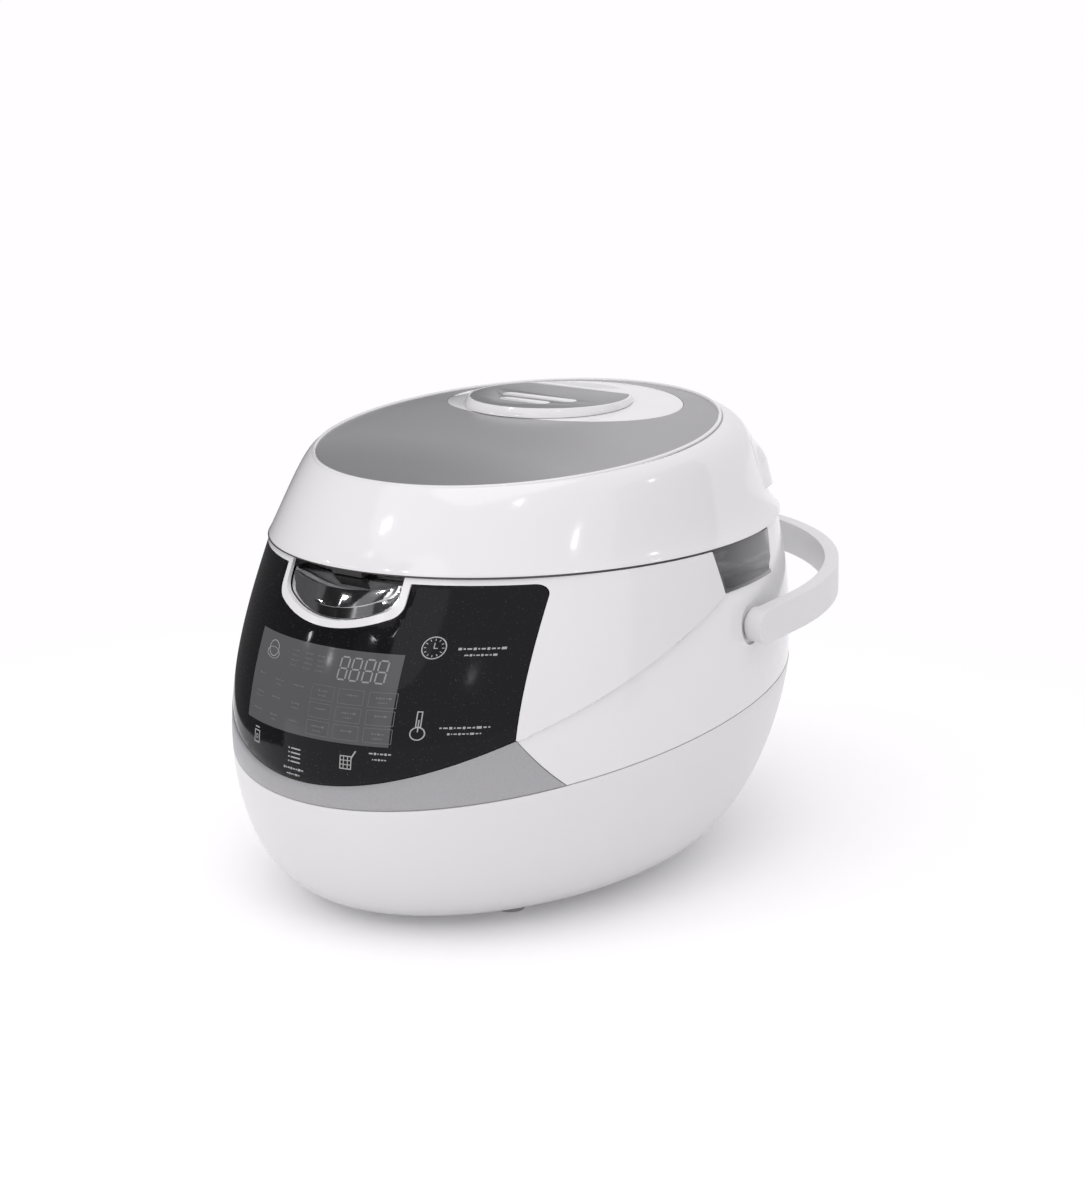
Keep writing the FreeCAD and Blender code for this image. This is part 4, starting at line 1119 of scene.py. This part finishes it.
@dataclass
class Studio:
    """White floor, soft light and the camera of the photograph."""

    eye: Point = (0.7679, -1.01775, 0.4660)
    right: Point = (0.7995, 0.6007, 0.0)
    up: Point = (-0.146, 0.1944, 0.970)
    back: Point = (0.5827, -0.7755, 0.2431)
    lens: float = 69.71
    floor_span: float = 14.0
    tint: Colour = (1.0, 0.982, 1.005)
    sky: float = 0.84
    floor_glow: float = 0.16
    white_from: float = 0.32
    white_to: float = 0.62
    middle: Point = (0.0, 0.0, 0.12)
    lamps: Sequence[Lamp] = (
        Lamp("overhead_box", (0.0, 0.0, 0.12), (0.1, -0.15, 1.0), 2.3, 1.8, 10.0),
        Lamp("front_box", (0.0, 0.0, 0.12), (0.15, -1.0, 0.6), 2.7, 1.3, 3.0),
        Lamp("spark_lid_front", (0.0769, -0.1124, 0.2287), (0.468, -0.339, 0.816), 2.4, 0.12, 0.6),
        Lamp("spark_lid_side", (0.1107, -0.0497, 0.2330), (0.764, 0.437, 0.475), 2.4, 0.10, 0.4),
        Lamp("spark_lid_low", (0.0994, -0.1028, 0.2050), (0.869, -0.093, 0.486), 2.4, 0.10, 0.4),
        Lamp("spark_lid_left", (0.0202, -0.1636, 0.2017), (-0.399, -0.672, 0.624), 2.4, 0.10, 0.5),
        Lamp("spark_lid_high", (0.0192, -0.1543, 0.2154), (-0.377, -0.548, 0.747), 2.4, 0.16, 1.0),
        Lamp("spark_panel_left", (-0.0070, -0.1840, 0.1586), (-0.746, -0.581, 0.324), 1.5, 0.05, 0.25),
        Lamp("spark_panel_mid", (0.0302, -0.1777, 0.1633), (-0.169, -0.859, 0.483), 1.5, 0.05, 0.25),
        Lamp("spark_panel_right", (0.0386, -0.1719, 0.1696), (-0.012, -0.859, 0.512), 1.5, 0.04, 0.16),
        Lamp("spark_panel_low", (0.0099, -0.1879, 0.1490), (-0.521, -0.778, 0.352), 1.5, 0.06, 0.35),
        Lamp("spark_panel_side", (0.078, -0.155, 0.153), (0.66, -0.69, 0.29), 1.5, 0.04, 0.16),
    )
    cards: Sequence[Card] = (
        Card("card_front_left", (-1.273, -1.23, 0.80), 1.9, 1.5, 0.02),
        Card("card_front", (-0.372, -1.914, 0.80), 0.46, 1.4, 0.22),
        Card("card_front_right", (-0.048, -1.849, 0.80), 0.24, 1.4, 0.05),
        Card("card_left", (-0.75, 0.05, 0.45), 1.6, 1.2, 0.1),
        Card("card_left_low", (-0.42, 0.05, 0.11), 1.2, 0.2, 0.1),
        Card("flag_right_rear", (1.6, 1.0, 0.6), 1.6, 1.6, 0.35, True),
    )

    def build(self) -> None:
        """Make the floor, the light and the camera."""
        self.lay_floor()
        self.light_sky()
        for lamp in self.lamps:
            self.hang(lamp)
        for card in self.cards:
            self.stand(card)
        self.set_camera()

    def seen(self, sheet: Sheet) -> Wire:
        """One for rays from the camera, a mirror or glass."""
        def path(name: str) -> Wire:
            """One kind of ray."""
            return sheet.node("ShaderNodeLightPath", None, None, name)
        total = path("Is Camera Ray") + path("Is Glossy Ray") + path("Is Transmission Ray")
        return total.over(0.5)

    def lay_floor(self) -> None:
        """A pale floor that keeps the object's shadow and turns white further out."""
        bpy.ops.object.select_all(action="DESELECT")
        bpy.ops.mesh.primitive_plane_add(size=self.floor_span)
        floor = bpy.context.view_layer.objects.active
        floor.name = "studio_floor"
        sheet = Sheet("floor_white")
        sheet.surface(Base_Color=(0.9, 0.9, 0.9), Roughness=1.0, Specular_IOR_Level=0.0)
        spread = sheet.node("ShaderNodeVectorMath", {"operation": "LENGTH"}, {0: sheet.place()}, "Value")
        share = spread.within(self.white_from, self.white_to)
        glow = sheet.node("ShaderNodeEmission", None, {"Color": self.tint,
                                                       "Strength": self.seen(sheet) * self.floor_glow})
        white = sheet.node("ShaderNodeEmission", None, {"Color": self.tint, "Strength": 1.0})
        near = sheet.node("ShaderNodeAddShader", None, {0: Wire(sheet, sheet.shader.outputs[0]), 1: glow})
        whole = sheet.node("ShaderNodeMixShader", None, {0: share, 1: near, 2: white})
        sheet.feed(sheet.output.inputs["Surface"], whole)
        floor.data.materials.append(sheet.material)

    def light_sky(self) -> None:
        """An even white sky, full white where it is seen."""
        world = bpy.data.worlds.new("studio_sky")
        bpy.context.scene.world = world
        world.use_nodes = True
        tree = world.node_tree
        path = tree.nodes.new("ShaderNodeLightPath")
        mix = tree.nodes.new("ShaderNodeMix")
        tree.links.new(path.outputs["Is Camera Ray"], mix.inputs[0])
        mix.inputs[2].default_value = self.sky
        mix.inputs[3].default_value = 1.0
        tree.links.new(mix.outputs[0], tree.nodes["Background"].inputs["Strength"])
        tree.nodes["Background"].inputs["Color"].default_value = (*self.tint, 1.0)

    def hang(self, lamp: Lamp) -> None:
        """Hang one lamp.

        Args:
            lamp: what to hang.
        """
        data = bpy.data.lights.new(lamp.name, "AREA")
        data.shape = "DISK"
        data.size = lamp.width
        data.energy = lamp.power
        data.color = self.tint
        thing = bpy.data.objects.new(lamp.name, data)
        bpy.context.scene.collection.objects.link(thing)
        way = Vector(lamp.way).normalized()
        thing.location = Vector(lamp.target) + way * lamp.reach
        thing.rotation_euler = (-way).to_track_quat("-Z", "Y").to_euler()

    def stand(self, card: Card) -> None:
        """Stand one card up, facing the object.

        Args:
            card: what to stand up.
        """
        bpy.ops.object.select_all(action="DESELECT")
        bpy.ops.mesh.primitive_plane_add(size=1.0)
        sheet_object = bpy.context.view_layer.objects.active
        sheet_object.name = card.name
        sheet_object.scale = (card.width, card.height, 1.0)
        sheet_object.location = card.place
        aim = Vector(self.middle) - Vector(card.place)
        sheet_object.rotation_euler = aim.to_track_quat("Z", "Y").to_euler()
        sheet = Sheet(card.name)
        dark = sheet.node("ShaderNodeEmission", None, {"Color": self.tint, "Strength": card.tone})
        sheet.feed(sheet.output.inputs["Surface"], dark)
        sheet_object.data.materials.append(sheet.material)
        sheet_object.visible_camera = False
        sheet_object.visible_diffuse = card.flag
        sheet_object.visible_shadow = False
        sheet_object.visible_transmission = False

    def set_camera(self) -> None:
        """Put the camera where the photograph was taken from."""
        data = bpy.data.cameras.new("photo_camera")
        data.sensor_fit = "VERTICAL"
        data.sensor_height = 36.0
        data.lens = self.lens
        camera = bpy.data.objects.new("photo_camera", data)
        bpy.context.scene.collection.objects.link(camera)
        turn = Matrix((self.right, self.up, self.back)).transposed().to_4x4()
        camera.matrix_world = Matrix.Translation(self.eye) @ turn
        bpy.context.scene.camera = camera


def main() -> None:
    """Load the frame, build every set of pieces and set the scene."""
    logging.basicConfig(level=logging.INFO)
    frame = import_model()
    bpy.context.scene.view_settings.view_transform = "Standard"
    bench = Workbench(frame)
    sets: Sequence[Any] = (ShellLooks(bench), LidLooks(bench), SteamCapLooks(bench), PanelLooks(bench),
                           ButtonLooks(bench), HandleLooks(bench), InsideLooks(bench), Studio())
    for looks in sets:
        looks.build()
        LOG.info("%s done", type(looks).__name__)


if __name__ == "__main__":
    main()
